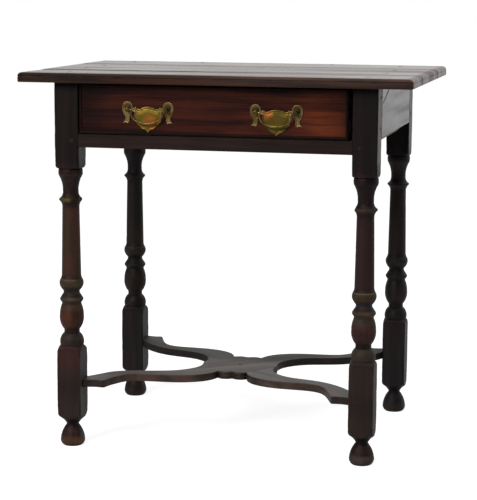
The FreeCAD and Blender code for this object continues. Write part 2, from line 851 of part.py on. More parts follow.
def half_plate_edges():
    """The right half of the back plate, from the crown of the shield round to its tip."""
    crown = V(0, 0, shield_crown_rise)
    valley = V(shield_valley_x, 0, -shield_valley_drop)
    cusp_point = V(shield_cusp_x, 0, shield_cusp_rise)
    bridge_top = V(shield_half_width, 0, bridge_half_height / 2.0)
    ear_low_z = -ear_neck_drop
    ear_in_top = V(ear_centre_x - ear_radius, 0, ear_centre_rise)
    ear_out = V(ear_centre_x + ear_radius, 0, ear_centre_rise)
    ear_top = V(ear_centre_x, 0, ear_centre_rise + ear_radius)
    neck_out = V(ear_centre_x + ear_neck_width / 2.0, 0, ear_low_z)
    neck_in = V(ear_centre_x - ear_neck_width / 2.0, 0, ear_low_z)
    foot_out = V(ear_centre_x + ear_foot_reach, 0, -ear_foot_drop)
    foot_in = V(foot_out.x - ear_foot_width, 0, -ear_foot_drop)
    bridge_low_out = V(ear_centre_x - ear_radius, 0, -bridge_half_height)
    bridge_low_in = V(shield_half_width, 0, -bridge_half_height)
    notch_point = V(shield_notch_x, 0, -shield_notch_drop)
    lobe_point = V(shield_lobe_x, 0, -shield_lobe_drop)
    tip = V(0, 0, -shield_tip_drop)
    return [
        bowed(crown, valley, -swell), bowed(valley, cusp_point, round_swell), line(cusp_point, bridge_top),
        line(bridge_top, ear_in_top), Part.Arc(ear_in_top, ear_top, ear_out).toShape(),
        bowed(ear_out, neck_out, -swell), bowed(neck_out, foot_out, round_swell),
        bowed(foot_out, foot_in, swell), bowed(foot_in, neck_in, -swell),
        bowed(neck_in, bridge_low_out, slight_swell), line(bridge_low_out, bridge_low_in),
        bowed(bridge_low_in, notch_point, -round_swell), bowed(notch_point, lobe_point, -swell),
        bowed(lobe_point, tip, swell)]


def back_plate():
    right = half_plate_edges()
    left = [mirrored_x(edge) for edge in right]
    outline = Part.Wire(Part.__sortEdges__(right + left))
    outer = Part.Face(outline)
    inner = outer.makeOffset2D(-plate_step_inset)
    plate = outer.extrude(V(0, plate_step_height - plate_thickness, 0))
    plate = plate.fuse(inner.extrude(V(0, -plate_thickness, 0))).removeSplitter()
    for side in (-1, 1):
        plate = plate.cut(ear_groove(side))
    return plate


def ear_groove(side):
    """A shallow ring cut round the ear, which makes it read as a scroll."""
    front = V(side * ear_centre_x, -plate_thickness, ear_centre_rise)
    floor = front + V(0, ear_groove_depth, 0)
    outer = ear_radius - ear_groove_inset
    return rod(outer, front, floor).cut(rod(outer - ear_groove_width, front, floor))


plate_front_y = -plate_thickness
bail_y = plate_front_y - bail_standoff
shank_back_y = drawer_front_thickness + nut_thickness + post_shank_end


def post(side):
    x = side * post_x
    body = rod(post_radius, V(x, plate_front_y, 0), V(x, plate_front_y - post_stand, 0))
    body = rounded(body, post_dome, lambda edge: abs(edge.BoundBox.YMax - plate_front_y + post_stand) < 1e-6)
    shank = rod(post_shank_radius, V(x, plate_front_y, 0), V(x, shank_back_y, 0))
    eye = rod(bail_pin_radius + bail_pin_play, V(0, bail_y, 0), V(side * far, bail_y, 0))
    return body.cut(eye).fuse(shank)


def nut(side):
    x = side * post_x
    half_corner = math.pi / nut_sides
    reach = nut_across / 2.0 / math.cos(half_corner)
    corners = []
    for turn in range(nut_sides + 1):
        angle = half_corner * (2 * turn + 1)
        corners.append(V(x + reach * math.cos(angle), drawer_front_thickness, reach * math.sin(angle)))
    block = Part.Face(Part.makePolygon(corners)).extrude(V(0, nut_thickness, 0))
    return block.cut(rod(post_shank_radius, V(x, 0, 0), V(x, shank_back_y, 0)))


def bail_path(share):
    """Point and direction along the bail, from the left pin round the grip to the right pin."""
    angle = math.pi * share
    sag = bail_drop - bail_straight_drop
    point = V(-bail_half_width * math.cos(angle), bail_y, -bail_straight_drop - sag * math.sin(angle))
    way = V(bail_half_width * math.sin(angle), 0, -sag * math.cos(angle))
    return point, way


def bail():
    sections = []
    for step in range(bail_sections + 1):
        share = step / bail_sections
        point, way = bail_path(share)
        radius = bail_end_radius + (bail_grip_radius - bail_end_radius) * math.sin(math.pi * share) ** 2
        sections.append(Part.Wire(Part.makeCircle(radius, point, way)))
    loop = Part.makeLoft(sections, True)
    pieces = []
    for side in (-1, 1):
        corner = V(side * bail_half_width, bail_y, 0)
        pieces.append(rod(bail_end_radius, V(side * bail_half_width, bail_y, -bail_straight_drop), corner))
        pieces.append(Part.makeSphere(bail_end_radius, corner))
        pieces.append(rod(bail_pin_radius, corner, corner + V(side * bail_pin_length, 0, 0)))
    return loop.fuse(pieces).removeSplitter()


drawer_centre_x = (drawer_left + drawer_right) / 2.0
handle_axis_z = (drawer_low + drawer_high) / 2.0 + handle_axis_rise
brass_plate = back_plate()
brass_posts = [post(-1), post(1)]
brass_nuts = [nut(-1), nut(1)]
for shank in brass_posts:
    brass_plate = brass_plate.cut(shank)
brass_bail = bail()

for side, name in ((-1, "left"), (1, "right")):
    place = V(drawer_centre_x + side * handle_offset, drawer_face_y, handle_axis_z)
    moved = {}
    for key, shapes in (("plate", [brass_plate]), ("posts", brass_posts), ("nuts", brass_nuts),
                        ("bail", [brass_bail])):
        moved[key] = [shape.translated(place) for shape in shapes]
    drawer_front = drilled(drawer_front, moved["posts"])
    save("handle_plate_" + name, moved["plate"])
    save("handle_posts_" + name, moved["posts"])
    save("handle_nuts_" + name, moved["nuts"])
    save("bail_" + name, moved["bail"])

save("drawer_front", drawer_front)
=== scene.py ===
# %% [markdown]
# The joiner's work arrives ready made: every board, tenon and nail of the table is already a
# solid, and it knows which part of the table it moves with. This lesson puts the looks on
# top. We load that frame, note its size, then add camera and light, finishes, the turned legs
# and the cast brasses.

# %% Load the joiner's frame
import math

import bpy
import bmesh
import numpy as np
from mathutils import Matrix, Vector, noise
from mathutils.geometry import delaunay_2d_cdt


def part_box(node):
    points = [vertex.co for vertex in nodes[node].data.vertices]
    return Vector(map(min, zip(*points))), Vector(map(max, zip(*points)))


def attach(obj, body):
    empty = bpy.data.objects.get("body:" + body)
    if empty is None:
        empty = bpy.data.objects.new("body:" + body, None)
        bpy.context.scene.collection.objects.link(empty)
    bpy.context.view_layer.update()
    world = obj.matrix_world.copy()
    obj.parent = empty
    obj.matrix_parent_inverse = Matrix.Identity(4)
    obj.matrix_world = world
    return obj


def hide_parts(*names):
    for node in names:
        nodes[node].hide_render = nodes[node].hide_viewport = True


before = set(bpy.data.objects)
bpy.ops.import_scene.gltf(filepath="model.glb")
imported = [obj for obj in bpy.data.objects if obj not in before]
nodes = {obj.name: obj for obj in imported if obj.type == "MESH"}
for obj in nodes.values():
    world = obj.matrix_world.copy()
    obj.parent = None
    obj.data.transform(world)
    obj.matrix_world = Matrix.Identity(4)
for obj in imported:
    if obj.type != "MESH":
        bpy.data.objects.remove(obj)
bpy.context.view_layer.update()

MM = 0.001

# %% [markdown]
# ## Camera
# The table is seen from a little above its own top, over three metres away and a little to its
# right, through a long lens. A long lens keeps the legs nearly upright in the picture.
# The camera is turned by building its three axes from yaw, pitch and roll, because that states
# plainly which way it looks and which way is up.

# %% Camera
EYE = Vector((761.1, -3270.5, 879.0)) * MM
YAW = math.radians(13.18)
PITCH = math.radians(8.86)
ROLL = math.radians(0.335)
LENS = 124.6


def eye_axes(yaw, pitch, roll):
    ahead = Vector((-math.sin(yaw) * math.cos(pitch), math.cos(yaw) * math.cos(pitch), -math.sin(pitch)))
    right = Vector((math.cos(yaw), math.sin(yaw), 0.0))
    up = right.cross(ahead)
    level_right = right * math.cos(roll) + up * math.sin(roll)
    level_up = up * math.cos(roll) - right * math.sin(roll)
    return level_right, level_up, -ahead


camera = bpy.data.objects.new("camera", bpy.data.cameras.new("camera"))
bpy.context.scene.collection.objects.link(camera)
camera.data.lens = LENS
camera.data.sensor_width = 36.0
camera.matrix_world = Matrix.Translation(EYE) @ Matrix(eye_axes(YAW, PITCH, ROLL)).transposed().to_4x4()
bpy.context.scene.camera = camera
bpy.context.scene.view_settings.view_transform = "Standard"
print("camera at", [round(value, 3) for value in EYE], "lens", LENS)

# %% [markdown]
# ## Sums on sockets
# A finish or a light is a web of small nodes, and most of them only add or multiply. Drawn one
# node at a time, such a web fills pages. So one small class wraps a socket and understands the
# plain signs, and a second one makes any node in one call. A rule such as
# `cloud * 0.7 + speck * 0.3` then reads as what it does.

# %% Wire: plain signs on a socket
class Wire:
    """One output of a node, with the plain arithmetic signs."""

    def __init__(self, web, socket):
        self.web = web
        self.socket = socket

    def join(self, operation, first, second):
        return self.web.node("ShaderNodeMath", {"operation": operation}, {0: first, 1: second})

    def __add__(self, other):
        return self.join("ADD", self, other)

    def __radd__(self, other):
        return self.join("ADD", other, self)

    def __sub__(self, other):
        return self.join("SUBTRACT", self, other)

    def __rsub__(self, other):
        return self.join("SUBTRACT", other, self)

    def __mul__(self, other):
        return self.join("MULTIPLY", self, other)

    def __rmul__(self, other):
        return self.join("MULTIPLY", other, self)

    def __truediv__(self, other):
        return self.join("DIVIDE", self, other)

    def __rtruediv__(self, other):
        return self.join("DIVIDE", other, self)


print("signs ready: + - * /")

# %% Web: any node in one call
class Web:
    """A node tree that is written as calls: one method makes any node."""

    def __init__(self, tree):
        self.tree = tree

    def node(self, kind, settings=None, inputs=None, out=0):
        made = self.tree.nodes.new(kind)
        for key, value in (settings or {}).items():
            if key == "stops":
                self.set_stops(made.color_ramp, value)
            else:
                setattr(made, key, value)
        for key, value in (inputs or {}).items():
            if isinstance(value, Wire):
                self.tree.links.new(value.socket, made.inputs[key])
            else:
                made.inputs[key].default_value = value
        return Wire(self, made.outputs[out]) if len(made.outputs) else None

    def set_stops(self, ramp, stops):
        while len(ramp.elements) < len(stops):
            ramp.elements.new(0.5)
        for element, (place, colour) in zip(ramp.elements, stops):
            element.position = place
            element.color = (*colour, 1.0) if len(colour) == 3 else colour

    def noise(self, place, scale, detail=3.0, roughness=0.5, distortion=0.0):
        values = {"Vector": place, "Scale": scale, "Detail": detail, "Roughness": roughness,
                  "Distortion": distortion}
        return self.node("ShaderNodeTexNoise", {}, values, "Fac")

    def ease(self, value, low, high):
        """0 at low, 1 at high, and a soft rise between; low may be the larger one."""
        return self.node("ShaderNodeMapRange", {"interpolation_type": "SMOOTHSTEP"},
                         {"Value": value, "From Min": low, "From Max": high})

    def unsigned(self, value):
        return self.node("ShaderNodeMath", {"operation": "ABSOLUTE"}, {0: value})

    def mix(self, share, first, second, blend="MIX"):
        """The first colour, or the second where share is 1; the numbers are the node's colour sockets."""
        first, second = (value if isinstance(value, Wire) else (*value, 1.0) for value in (first, second))
        return self.node("ShaderNodeMix", {"data_type": "RGBA", "blend_type": blend},
                         {0: share, 6: first, 7: second}, 2)


print("node helper ready")

# %% [markdown]
# ## Light
# A pale studio: the wall behind the table and to its right is white and bright, and the room
# behind the camera is dim. Dark waxed wood shows very little colour of its own, so what it
# mirrors matters most. At a flat angle the top mirrors the white wall and turns pale grey,
# while the legs, seen straight on, mirror the dim room and stay nearly black. One large lamp
# in front gives the turnings their soft stripe, and one overhead lights the boards.

# %% World
WALL_WHITE = 1.0
WALL_LEAN = 0.35
WALL_EDGE = (-0.15, 0.55)
ROOM_GLOSS = 0.05
FILL = 0.42

world = bpy.data.worlds.new("studio")
bpy.context.scene.world = world
world.use_nodes = True
world.node_tree.nodes.clear()
sky = Web(world.node_tree)
way = sky.node("ShaderNodeTexCoord", out="Generated")
depth = sky.node("ShaderNodeSeparateXYZ", {}, {0: way}, "Y")
side = sky.node("ShaderNodeSeparateXYZ", {}, {0: way}, "X")
gloss = sky.ease(depth + side * WALL_LEAN, *WALL_EDGE) * (WALL_WHITE - ROOM_GLOSS) + ROOM_GLOSS
seen = sky.node("ShaderNodeLightPath", out="Is Camera Ray")
through = sky.node("ShaderNodeLightPath", out="Is Transmission Ray")
shiny = sky.node("ShaderNodeLightPath", out="Is Glossy Ray")
straight = sky.node("ShaderNodeMath", {"operation": "MAXIMUM"}, {0: seen, 1: through})
level = straight * WALL_WHITE + (1.0 - straight) * (shiny * gloss + (1.0 - shiny) * FILL)
sky.node("ShaderNodeOutputWorld", {}, {"Surface": sky.node("ShaderNodeBackground", {}, {
    "Color": (1.0, 1.0, 1.0, 1.0), "Strength": level})})
print("world: wall", WALL_WHITE, "room", ROOM_GLOSS, "fill", FILL)

# %% Lamps
def soft_box(name, place, aim, size, watts, tint=(1.0, 1.0, 1.0)):
    lamp = bpy.data.lights.new(name, "AREA")
    lamp.shape = "RECTANGLE"
    lamp.size, lamp.size_y = size
    lamp.energy = watts
    lamp.color = tint
    holder = bpy.data.objects.new(name, lamp)
    bpy.context.scene.collection.objects.link(holder)
    turn = (Vector(aim) - Vector(place)).to_track_quat("-Z", "Y")
    holder.matrix_world = Matrix.Translation(place) @ turn.to_matrix().to_4x4()
    return holder


soft_box("front_lamp", (-1.3, -2.9, 2.3), (0.0, 0.0, 0.4), (1.5, 1.5), 80.0, (1.0, 0.97, 0.94))
soft_box("roof_lamp", (0.2, -0.9, 2.8), (0.0, -0.1, 0.4), (2.4, 1.6), 24.0)

# %% [markdown]
# ## Floor
# The table stands on pale paper. To the eye the floor is white, so it glows for the camera, but
# it must not throw that light up at the legs, so as a surface it is only grey. It ends in the
# dark of the room behind the camera, because polished feet would mirror it otherwise. Seen from
# below it is clear, which lets the underside be looked at.

# %% Floor
FLOOR_SIZE = 12.0
PAPER_EDGE = (-1.7, -0.6)
PAPER_GREY = 0.50
BARE_GREY = 0.08
FLOOR_GLOW = 0.80
BARE_GLOW = 0.4
MIRROR_GLOW = 0.3

floor_mesh = bpy.data.meshes.new("floor")
half = FLOOR_SIZE / 2.0
floor_mesh.from_pydata([(-half, -half, 0), (half, -half, 0), (half, half, 0), (-half, half, 0)], [],
                       [(0, 1, 2, 3)])
floor = bpy.data.objects.new("floor", floor_mesh)
bpy.context.scene.collection.objects.link(floor)
pale = bpy.data.materials.new("pale_floor")
pale.use_nodes = True
pale.node_tree.nodes.clear()
ground = Web(pale.node_tree)
floor_place = ground.node("ShaderNodeTexCoord", out="Object")
toward_room = ground.node("ShaderNodeSeparateXYZ", {}, {0: floor_place}, "Y")
paper = ground.ease(toward_room, *PAPER_EDGE)
matt = ground.node("ShaderNodeBsdfDiffuse", {}, {
    "Color": ground.mix(paper, (BARE_GREY,) * 3, (PAPER_GREY,) * 3)})
looks = ground.node("ShaderNodeLightPath", out="Is Camera Ray")
mirrors = ground.node("ShaderNodeLightPath", out="Is Glossy Ray")
clears = ground.node("ShaderNodeLightPath", out="Is Transmission Ray")
direct = ground.node("ShaderNodeMath", {"operation": "MAXIMUM"}, {0: looks, 1: clears})
glow = ground.node("ShaderNodeEmission", {}, {
    "Strength": direct * FLOOR_GLOW + (1.0 - paper) * direct * BARE_GLOW + mirrors * paper * MIRROR_GLOW})
below = ground.node("ShaderNodeNewGeometry", out="Backfacing")
clear = ground.node("ShaderNodeBsdfTransparent")
ground.node("ShaderNodeOutputMaterial", {}, {"Surface": ground.node("ShaderNodeMixShader", {}, {
    0: below, 1: ground.node("ShaderNodeAddShader", {}, {0: matt, 1: glow}), 2: clear})})
floor_mesh.materials.append(pale)
print("floor", FLOOR_SIZE, "m")

# %% [markdown]
# ## Old waxed wood
# Every wooden piece was cut from a log, so its figure is the log's growth rings, sliced by the
# board's faces. We make it the same way: each board gets its own pith, an invisible line some
# centimetres away, and the distance to that line, bent a little by noise, gives the rings.
# Short dark pores run with the grain. On top of that come three centuries: broad cloudy
# stains, wax darkened in the hollows, and arrises rubbed down to paler wood. The rubbed
# arrises come from the bevel node, which knows how near an edge is on any shape.

# %% Finish: an open material
class Finish(Web):
    """A material whose tree is open for building."""

    def __init__(self, name):
        self.material = bpy.data.materials.new(name)
        self.material.use_nodes = True
        super().__init__(self.material.node_tree)
        self.tree.nodes.clear()
        self.place = self.node("ShaderNodeTexCoord", out="Object")

    def coordinate(self, axis):
        return self.node("ShaderNodeSeparateXYZ", {}, {0: self.place}, axis)

    def apart(self, axis, middle):
        """Distance from a plane across one axis."""
        return self.unsigned(self.coordinate(axis) - middle)

    def band(self, height, reach, core):
        """1 up to core away from a height, and fading to 0 at reach."""
        return self.ease(self.apart("Z", height), reach, core)

    def facing(self, axis):
        """How far the surface faces along one axis, from -1 to 1."""
        normal = self.node("ShaderNodeNewGeometry", out="Normal")
        return self.node("ShaderNodeSeparateXYZ", {}, {0: normal}, axis)

    def near_edge(self, reach):
        """0 on a flat face, rising towards 1 at an edge."""
        plain = self.node("ShaderNodeNewGeometry", out="Normal")
        rounded = self.node("ShaderNodeBevel", {"samples": 4}, {"Radius": reach})
        alike = self.node("ShaderNodeVectorMath", {"operation": "DOT_PRODUCT"}, {0: plain, 1: rounded},
                          "Value")
        return self.ease(alike, 0.995, 0.80)

    def deepen(self, share, colour, tint):
        """The colour seen through a dark glaze, as far as share says."""
        return self.mix(share, colour, self.mix(1.0, colour, tint, "MULTIPLY"))

    def close(self, values):
        shell = self.node("ShaderNodeBsdfPrincipled", {}, values)
        self.node("ShaderNodeOutputMaterial", {}, {"Surface": shell})
        return self.material


print("finish helper ready")

# %% Timber: patterns along the grain
AXES = {"x": (0.0, 0.0, 0.0), "y": (0.0, 0.0, -math.pi / 2.0), "z": (0.0, math.pi / 2.0, 0.0)}
RING_BEND = 0.022


class Timber(Finish):
    """Wood whose every pattern runs along the board's own grain."""

    def __init__(self, name, turn, pith, stretch=0.06):
        super().__init__(name)
        turned = self.node("ShaderNodeMapping", {"vector_type": "POINT"}, {
            "Vector": self.place, "Rotation": AXES.get(turn, turn)})
        self.moved = self.node("ShaderNodeVectorMath", {"operation": "ADD"}, {0: turned, 1: pith})
        self.long = self.squeezed(stretch)

    def squeezed(self, stretch):
        """The place with its length along the grain shortened, so that a pattern on it is drawn out."""
        return self.node("ShaderNodeVectorMath", {"operation": "MULTIPLY"},
                         {0: self.moved, 1: (stretch, 1.0, 1.0)})

    def streaks(self, scale, low=0.36, high=0.64, detail=3.0):
        return self.ease(self.noise(self.long, scale, detail, 0.55), low, high)

    def rings(self, spacing):
        bend = self.noise(self.long, 9.0, 3.0, 0.55)
        far = self.node("ShaderNodeVectorMath", {"operation": "LENGTH"}, {0: self.squeezed(0.035)}, "Value")
        wave = self.node("ShaderNodeMath", {"operation": "FRACT"}, {0: (far + bend * RING_BEND) / spacing})
        return wave * self.ease(wave, 1.0, 0.84)


print("timber helper ready for grain along", sorted(AXES))

# %% Old waxed wood
PORE_DEPTH = 0.0005


def old_wood(name, turn, pith, tones, spacing=0.0036, spread=1.0, gloss=0.42, dry=0.10, shine=0.5,
             rub=0.4, rub_tone=None, edge=0.003, dark=0.4, relief=0.12, soft=0.0, extra=None):
    """Old waxed wood.

    tones are the dark, middle and light colour of its figure, spacing is the width of a growth ring,
    rub is how pale its arrises are worn, soft is how far they look rounded, and extra adds what only
    this board has.
    """
    timber = Timber(name, turn, pith)
    bands = timber.streaks(34.0)
    fibre = timber.noise(timber.long, 420.0, 3.0, 0.6)
    figure = bands * 0.42 + timber.streaks(120.0) * 0.26 + timber.rings(spacing) * 0.18 + fibre * 0.20
    figure = (figure - 0.50) * spread + 0.50
    stops = list(zip((0.12, 0.50, 0.90), tones))
    colour = timber.node("ShaderNodeValToRGB", {"stops": stops}, {0: figure})
    pores = timber.ease(timber.noise(timber.long, 700.0, 1.0, 0.4), 0.60, 0.72)
    colour = timber.deepen(pores * 0.35, colour, (0.35, 0.33, 0.33))
    cloud = timber.noise(timber.place, 7.0, 4.0, 0.62)
    colour = timber.deepen(timber.ease(cloud, 0.42, 0.66) * dark, colour, (0.45, 0.45, 0.50))
    dull = timber.noise(timber.long, 22.0, 3.0, 0.6)
    rough = gloss + timber.ease(dull, 0.40, 0.68) * dry + (cloud - 0.5) * 0.12 + fibre * 0.06 - 0.03
    if extra:
        colour, rough = extra(timber, colour, rough)
    chafed = timber.near_edge(edge) * timber.ease(timber.noise(timber.place, 48.0, 4.0, 0.65), 0.40, 0.64)
    colour = timber.mix(chafed * rub, colour, rub_tone or tones[2])
    height = figure * 0.5 - pores * 0.5 + timber.noise(timber.place, 30.0, 2.0, 0.5) * 1.2
    grained = {"Strength": relief, "Distance": PORE_DEPTH, "Height": height}
    if soft:
        grained["Normal"] = timber.node("ShaderNodeBevel", {"samples": 6}, {"Radius": soft})
    bump = timber.node("ShaderNodeBump", {}, grained, "Normal")
    return timber.close({"Base Color": colour, "Roughness": rough, "Specular IOR Level": shine,
                         "Normal": bump})


print("wood finish ready")

# %% [markdown]
# ## Finishing a mesh
# Every mesh made here ends the same way, whatever made it: points that lie on each other are
# welded, the faces are turned outward, and the skin is shaded smooth except over sharp edges.
# Doing this in one helper means that no piece is left inside out or full of seams.

# %% Mesh helpers
def settle(name, made, sharp=35.0):
    """Weld, turn the faces outward, smooth, and link as a piece."""
    skin = bmesh.new()
    skin.from_mesh(made)
    bmesh.ops.remove_doubles(skin, verts=skin.verts, dist=1e-6)
    bmesh.ops.recalc_face_normals(skin, faces=skin.faces)
    skin.to_mesh(made)
    skin.free()
    made.shade_smooth()
    made.set_sharp_from_angle(angle=math.radians(sharp))
    piece = bpy.data.objects.new(name, made)
    bpy.context.scene.collection.objects.link(piece)
    return piece


def smooth_step(value, low, high):
    share = np.clip((value - low) / (high - low), 0.0, 1.0)
    return share * share * (3.0 - 2.0 * share)


def welded_copy(node):
    """The joiner's piece as one welded skin with flat faces joined."""
    skin = bmesh.new()
    skin.from_mesh(nodes[node].data)
    bmesh.ops.remove_doubles(skin, verts=skin.verts, dist=1e-6)
    bmesh.ops.dissolve_limit(skin, angle_limit=math.radians(0.5), verts=skin.verts, edges=skin.edges)
    return skin


def slice_up(skin, axis, low, high, step):
    """Cut the skin across one axis every step, so that it can bend."""
    normal = Vector([float(index == axis) for index in range(3)])
    count = max(1, round((high - low) / step))
    for cut in range(1, count):
        where = normal * (low + (high - low) * cut / count)
        bmesh.ops.bisect_plane(skin, geom=skin.verts[:] + skin.edges[:] + skin.faces[:], plane_co=where,
                               plane_no=normal, dist=1e-7)


print("mesh helpers ready")

# %% [markdown]
# ## Dressing the flat work
# The grain runs the long way of each board. Two boards never come from the same place in the
# log, so each one gets its own pith. The show faces are stained and waxed, and the inside of
# the drawer and its runners are bare and dry, because nobody waxed what nobody saw. Where a
# board needs something of its own, such as the dark dirt in the joints of the top, a small
# function adds it between the figure and the worn edges.

# %% Dirt and scratches
APRON_TONES = ((0.0075, 0.0058, 0.0050), (0.0180, 0.0135, 0.0115), (0.0440, 0.0310, 0.0240))
RAIL_TONES = ((0.0078, 0.0042, 0.0038), (0.0140, 0.0070, 0.0060), (0.0280, 0.0130, 0.0100))
DUST = (0.050, 0.040, 0.034)
SCRATCH_SLANT = 0.30


def dress(node, material):
    target = nodes[node].data
    target.materials.clear()
    target.materials.append(material)


def joint_dirt(*joints):
    """Dark dirt along the lines where an apron meets its legs."""
    def add(timber, colour, rough):
        for axis, middle in joints:
            patchy = timber.noise(timber.place, 60.0, 2.0, 0.5)
            line = timber.ease(timber.apart(axis, middle) + patchy * 0.004, 0.008, 0.002)
            colour = timber.deepen(line * 0.9, colour, (0.15, 0.15, 0.15))
            rough = rough + line * 0.4
        return colour, rough
    return add


def scratched(timber, colour, rough):
    """One long slanting scratch near the front, besides the dirt in the joints."""
    colour, rough = joint_dirt(("Y", -0.186), ("Y", 0.186))(timber, colour, rough)
    along, rise = timber.coordinate("Y"), timber.coordinate("Z")
    apart = timber.unsigned((rise - 0.690) - (along + 0.080) * SCRATCH_SLANT)
    reach = timber.ease(along, -0.180, -0.165) * timber.ease(along, -0.055, -0.070)
    ragged = timber.noise(timber.place, 90.0, 2.0, 0.5) * 0.0012
    line = timber.ease(apart + ragged, 0.0034, 0.0012) * reach
    bald = timber.streaks(16.0, 0.50, 0.66)
    colour = timber.mix(bald * 0.35, colour, (0.075, 0.066, 0.060))
    return timber.deepen(line * 0.9, colour, (0.10, 0.10, 0.10)), rough + line * 0.50 + bald * 0.12


print("joints get a dark line, the right apron a scratch too")

# %% Aprons and rail
TENON_REACH = 26.0 * MM

low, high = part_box("side_apron_left")
leg_lines = joint_dirt(("Y", low.y + TENON_REACH), ("Y", high.y - TENON_REACH))
for node, pith, wear in (("side_apron_left", (0.4, -0.24, -0.60), leg_lines),
                         ("side_apron_right", (-1.3, 0.36, -0.58), scratched)):
    dress(node, old_wood(node + "_wood", "y", pith, APRON_TONES, gloss=0.30, dry=0.16, dark=0.3,
                         rub_tone=DUST, extra=wear))
dress("back_apron", old_wood("back_apron_wood", "x", (2.2, -0.27, -0.57), APRON_TONES, rub_tone=DUST))
dress("drawer_rail", old_wood("drawer_rail_wood", "x", (0.9, 0.19, -0.55), RAIL_TONES, spread=0.8,
                              gloss=0.48, shine=0.15))
print("aprons and rail dressed")

# %% [markdown]
# ## The drawer
# Its front is the table's show piece. A red stain has faded to orange on the right, where the
# daylight fell. It is darker towards both ends, and along its top runs a painted shadow of the
# overhanging top. The bead round it is nearly black. Inside, the boards were never waxed: they
# are pale and dry, with painted shade on their undersides.
# The fading is a slow change along the board, so it is a rule on the place and not a picture.

# %% Stains of the drawer
FRONT_TONES = ((0.0095, 0.0030, 0.0032), (0.0250, 0.0051, 0.0038), (0.0570, 0.0112, 0.0054))
BEAD_TONES = ((0.0050, 0.0026, 0.0026), (0.0080, 0.0036, 0.0034), (0.0140, 0.0056, 0.0046))
BARE_TONES = ((0.16, 0.10, 0.055), (0.27, 0.18, 0.10), (0.38, 0.27, 0.16))
FADED_ORANGE = (0.155, 0.031, 0.0080)


def shaded_undersides(timber, colour, rough):
    """Darker on faces that point down: painted shade on the undersides."""
    # Painted shade: faces pointing down are darkened.
    return timber.deepen(timber.ease(timber.facing("Z"), -0.3, -0.7), colour, (0.10, 0.09, 0.09)), rough


def drawer_glow(timber, colour, rough):
    """Faded to orange towards the right and darker towards the ends, with a painted shadow of the overhanging
    top along the top edge.
    """
    streak = timber.streaks(52.0, 0.40, 0.62)
    across = timber.coordinate("X")
    faded = timber.ease(across, -0.16, 0.14) * 0.5 + timber.ease(across, 0.10, 0.20) * 0.5
    faded = faded * timber.ease(across, 0.262, 0.228)
    flame = timber.noise(timber.squeezed(0.2), 30.0, 3.0, 0.6)
    glow = timber.ease(across, 0.12, 0.19) * timber.ease(flame, 0.36, 0.60)
    colour = timber.mix(faded * (streak * 0.70 + glow * 0.25), colour, FADED_ORANGE)
    dirt_and_shadow_wobble = timber.noise(timber.place, 14.0, 3.0, 0.6) * 0.03
    ends = timber.ease(timber.apart("X", -0.002) + dirt_and_shadow_wobble, 0.205, 0.270)
    colour = timber.deepen(timber.ease(across + dirt_and_shadow_wobble, -0.165, -0.205) * 0.5, colour, (0.42, 0.52, 0.62))
    # Painted shadow: the top strip of the front is darkened where the overhanging top shades it.
    high = timber.ease(timber.coordinate("Z") + dirt_and_shadow_wobble, 0.662, 0.700)
    colour = timber.deepen(ends * 0.62, colour, (0.30, 0.36, 0.42))
    colour = timber.deepen(high * 0.2, colour, (0.35, 0.38, 0.42))
    return colour, rough


print("drawer front tones", FRONT_TONES)

# %% Dress the drawer
BEAD_PITH = (0.7, 0.24, -0.61)
BARE_GRAIN = {"y": ("drawer_side_left", "drawer_side_right", "drawer_runner_left", "drawer_runner_right",
                    "drawer_guide_left", "drawer_guide_right"),
              "x": ("drawer_back", "drawer_bottom_front", "drawer_bottom_back", "drawer_stops")}

dress("drawer_front", old_wood("drawer_front_wood", "x", (0.1, 0.20, -0.700), FRONT_TONES, spread=1.45,
                               gloss=0.42, shine=0.11, dark=0.3, relief=0.08, extra=drawer_glow))
for side, turn, shine, rub in (("top", "x", 0.07, 0.06), ("bottom", "x", 0.07, 0.06),
                               ("left", "z", 0.05, 0.0), ("right", "z", 0.05, 0.0)):
    node = "drawer_bead_" + side
    dress(node, old_wood(node + "_wood", turn, BEAD_PITH, BEAD_TONES, gloss=0.60, shine=shine, rub=rub))
for turn, boards in BARE_GRAIN.items():
    for node in boards:
        dress(node, old_wood(node + "_wood", turn, (len(node) * 0.37, 0.08, -0.55), BARE_TONES,
                             gloss=0.62, shine=0.3, rub=0.2, extra=shaded_undersides))
print("drawer dressed,", sum(len(boards) for boards in BARE_GRAIN.values()), "bare boards")

# %% [markdown]
# ## The cross stretcher
# Two serpentine boards cross near the floor, where everybody rests their feet. Shoes have taken
# the wax off the flat top and rubbed the flanks red. The two arms behind are painted darker, as
# shade, and so are the flanks at the lobes and at the heels.
# The sawyer cut them by eye, so no arm is the twin of another: the front left one has crept up
# in its mortise and its heel is fuller. That arm is bent here by a few pushes that fade out
# with distance, because a push keeps the skin whole, where cutting and joining wouldn't.

# %% Wear of the stretcher
STRETCHER_TONES = ((0.022, 0.014, 0.011), (0.046, 0.029, 0.022), (0.085, 0.055, 0.040))
PEG_TONES = ((0.008, 0.0054, 0.0050), (0.015, 0.0092, 0.0082), (0.026, 0.0160, 0.0135))
RISE = math.atan2(186.0, 256.0)


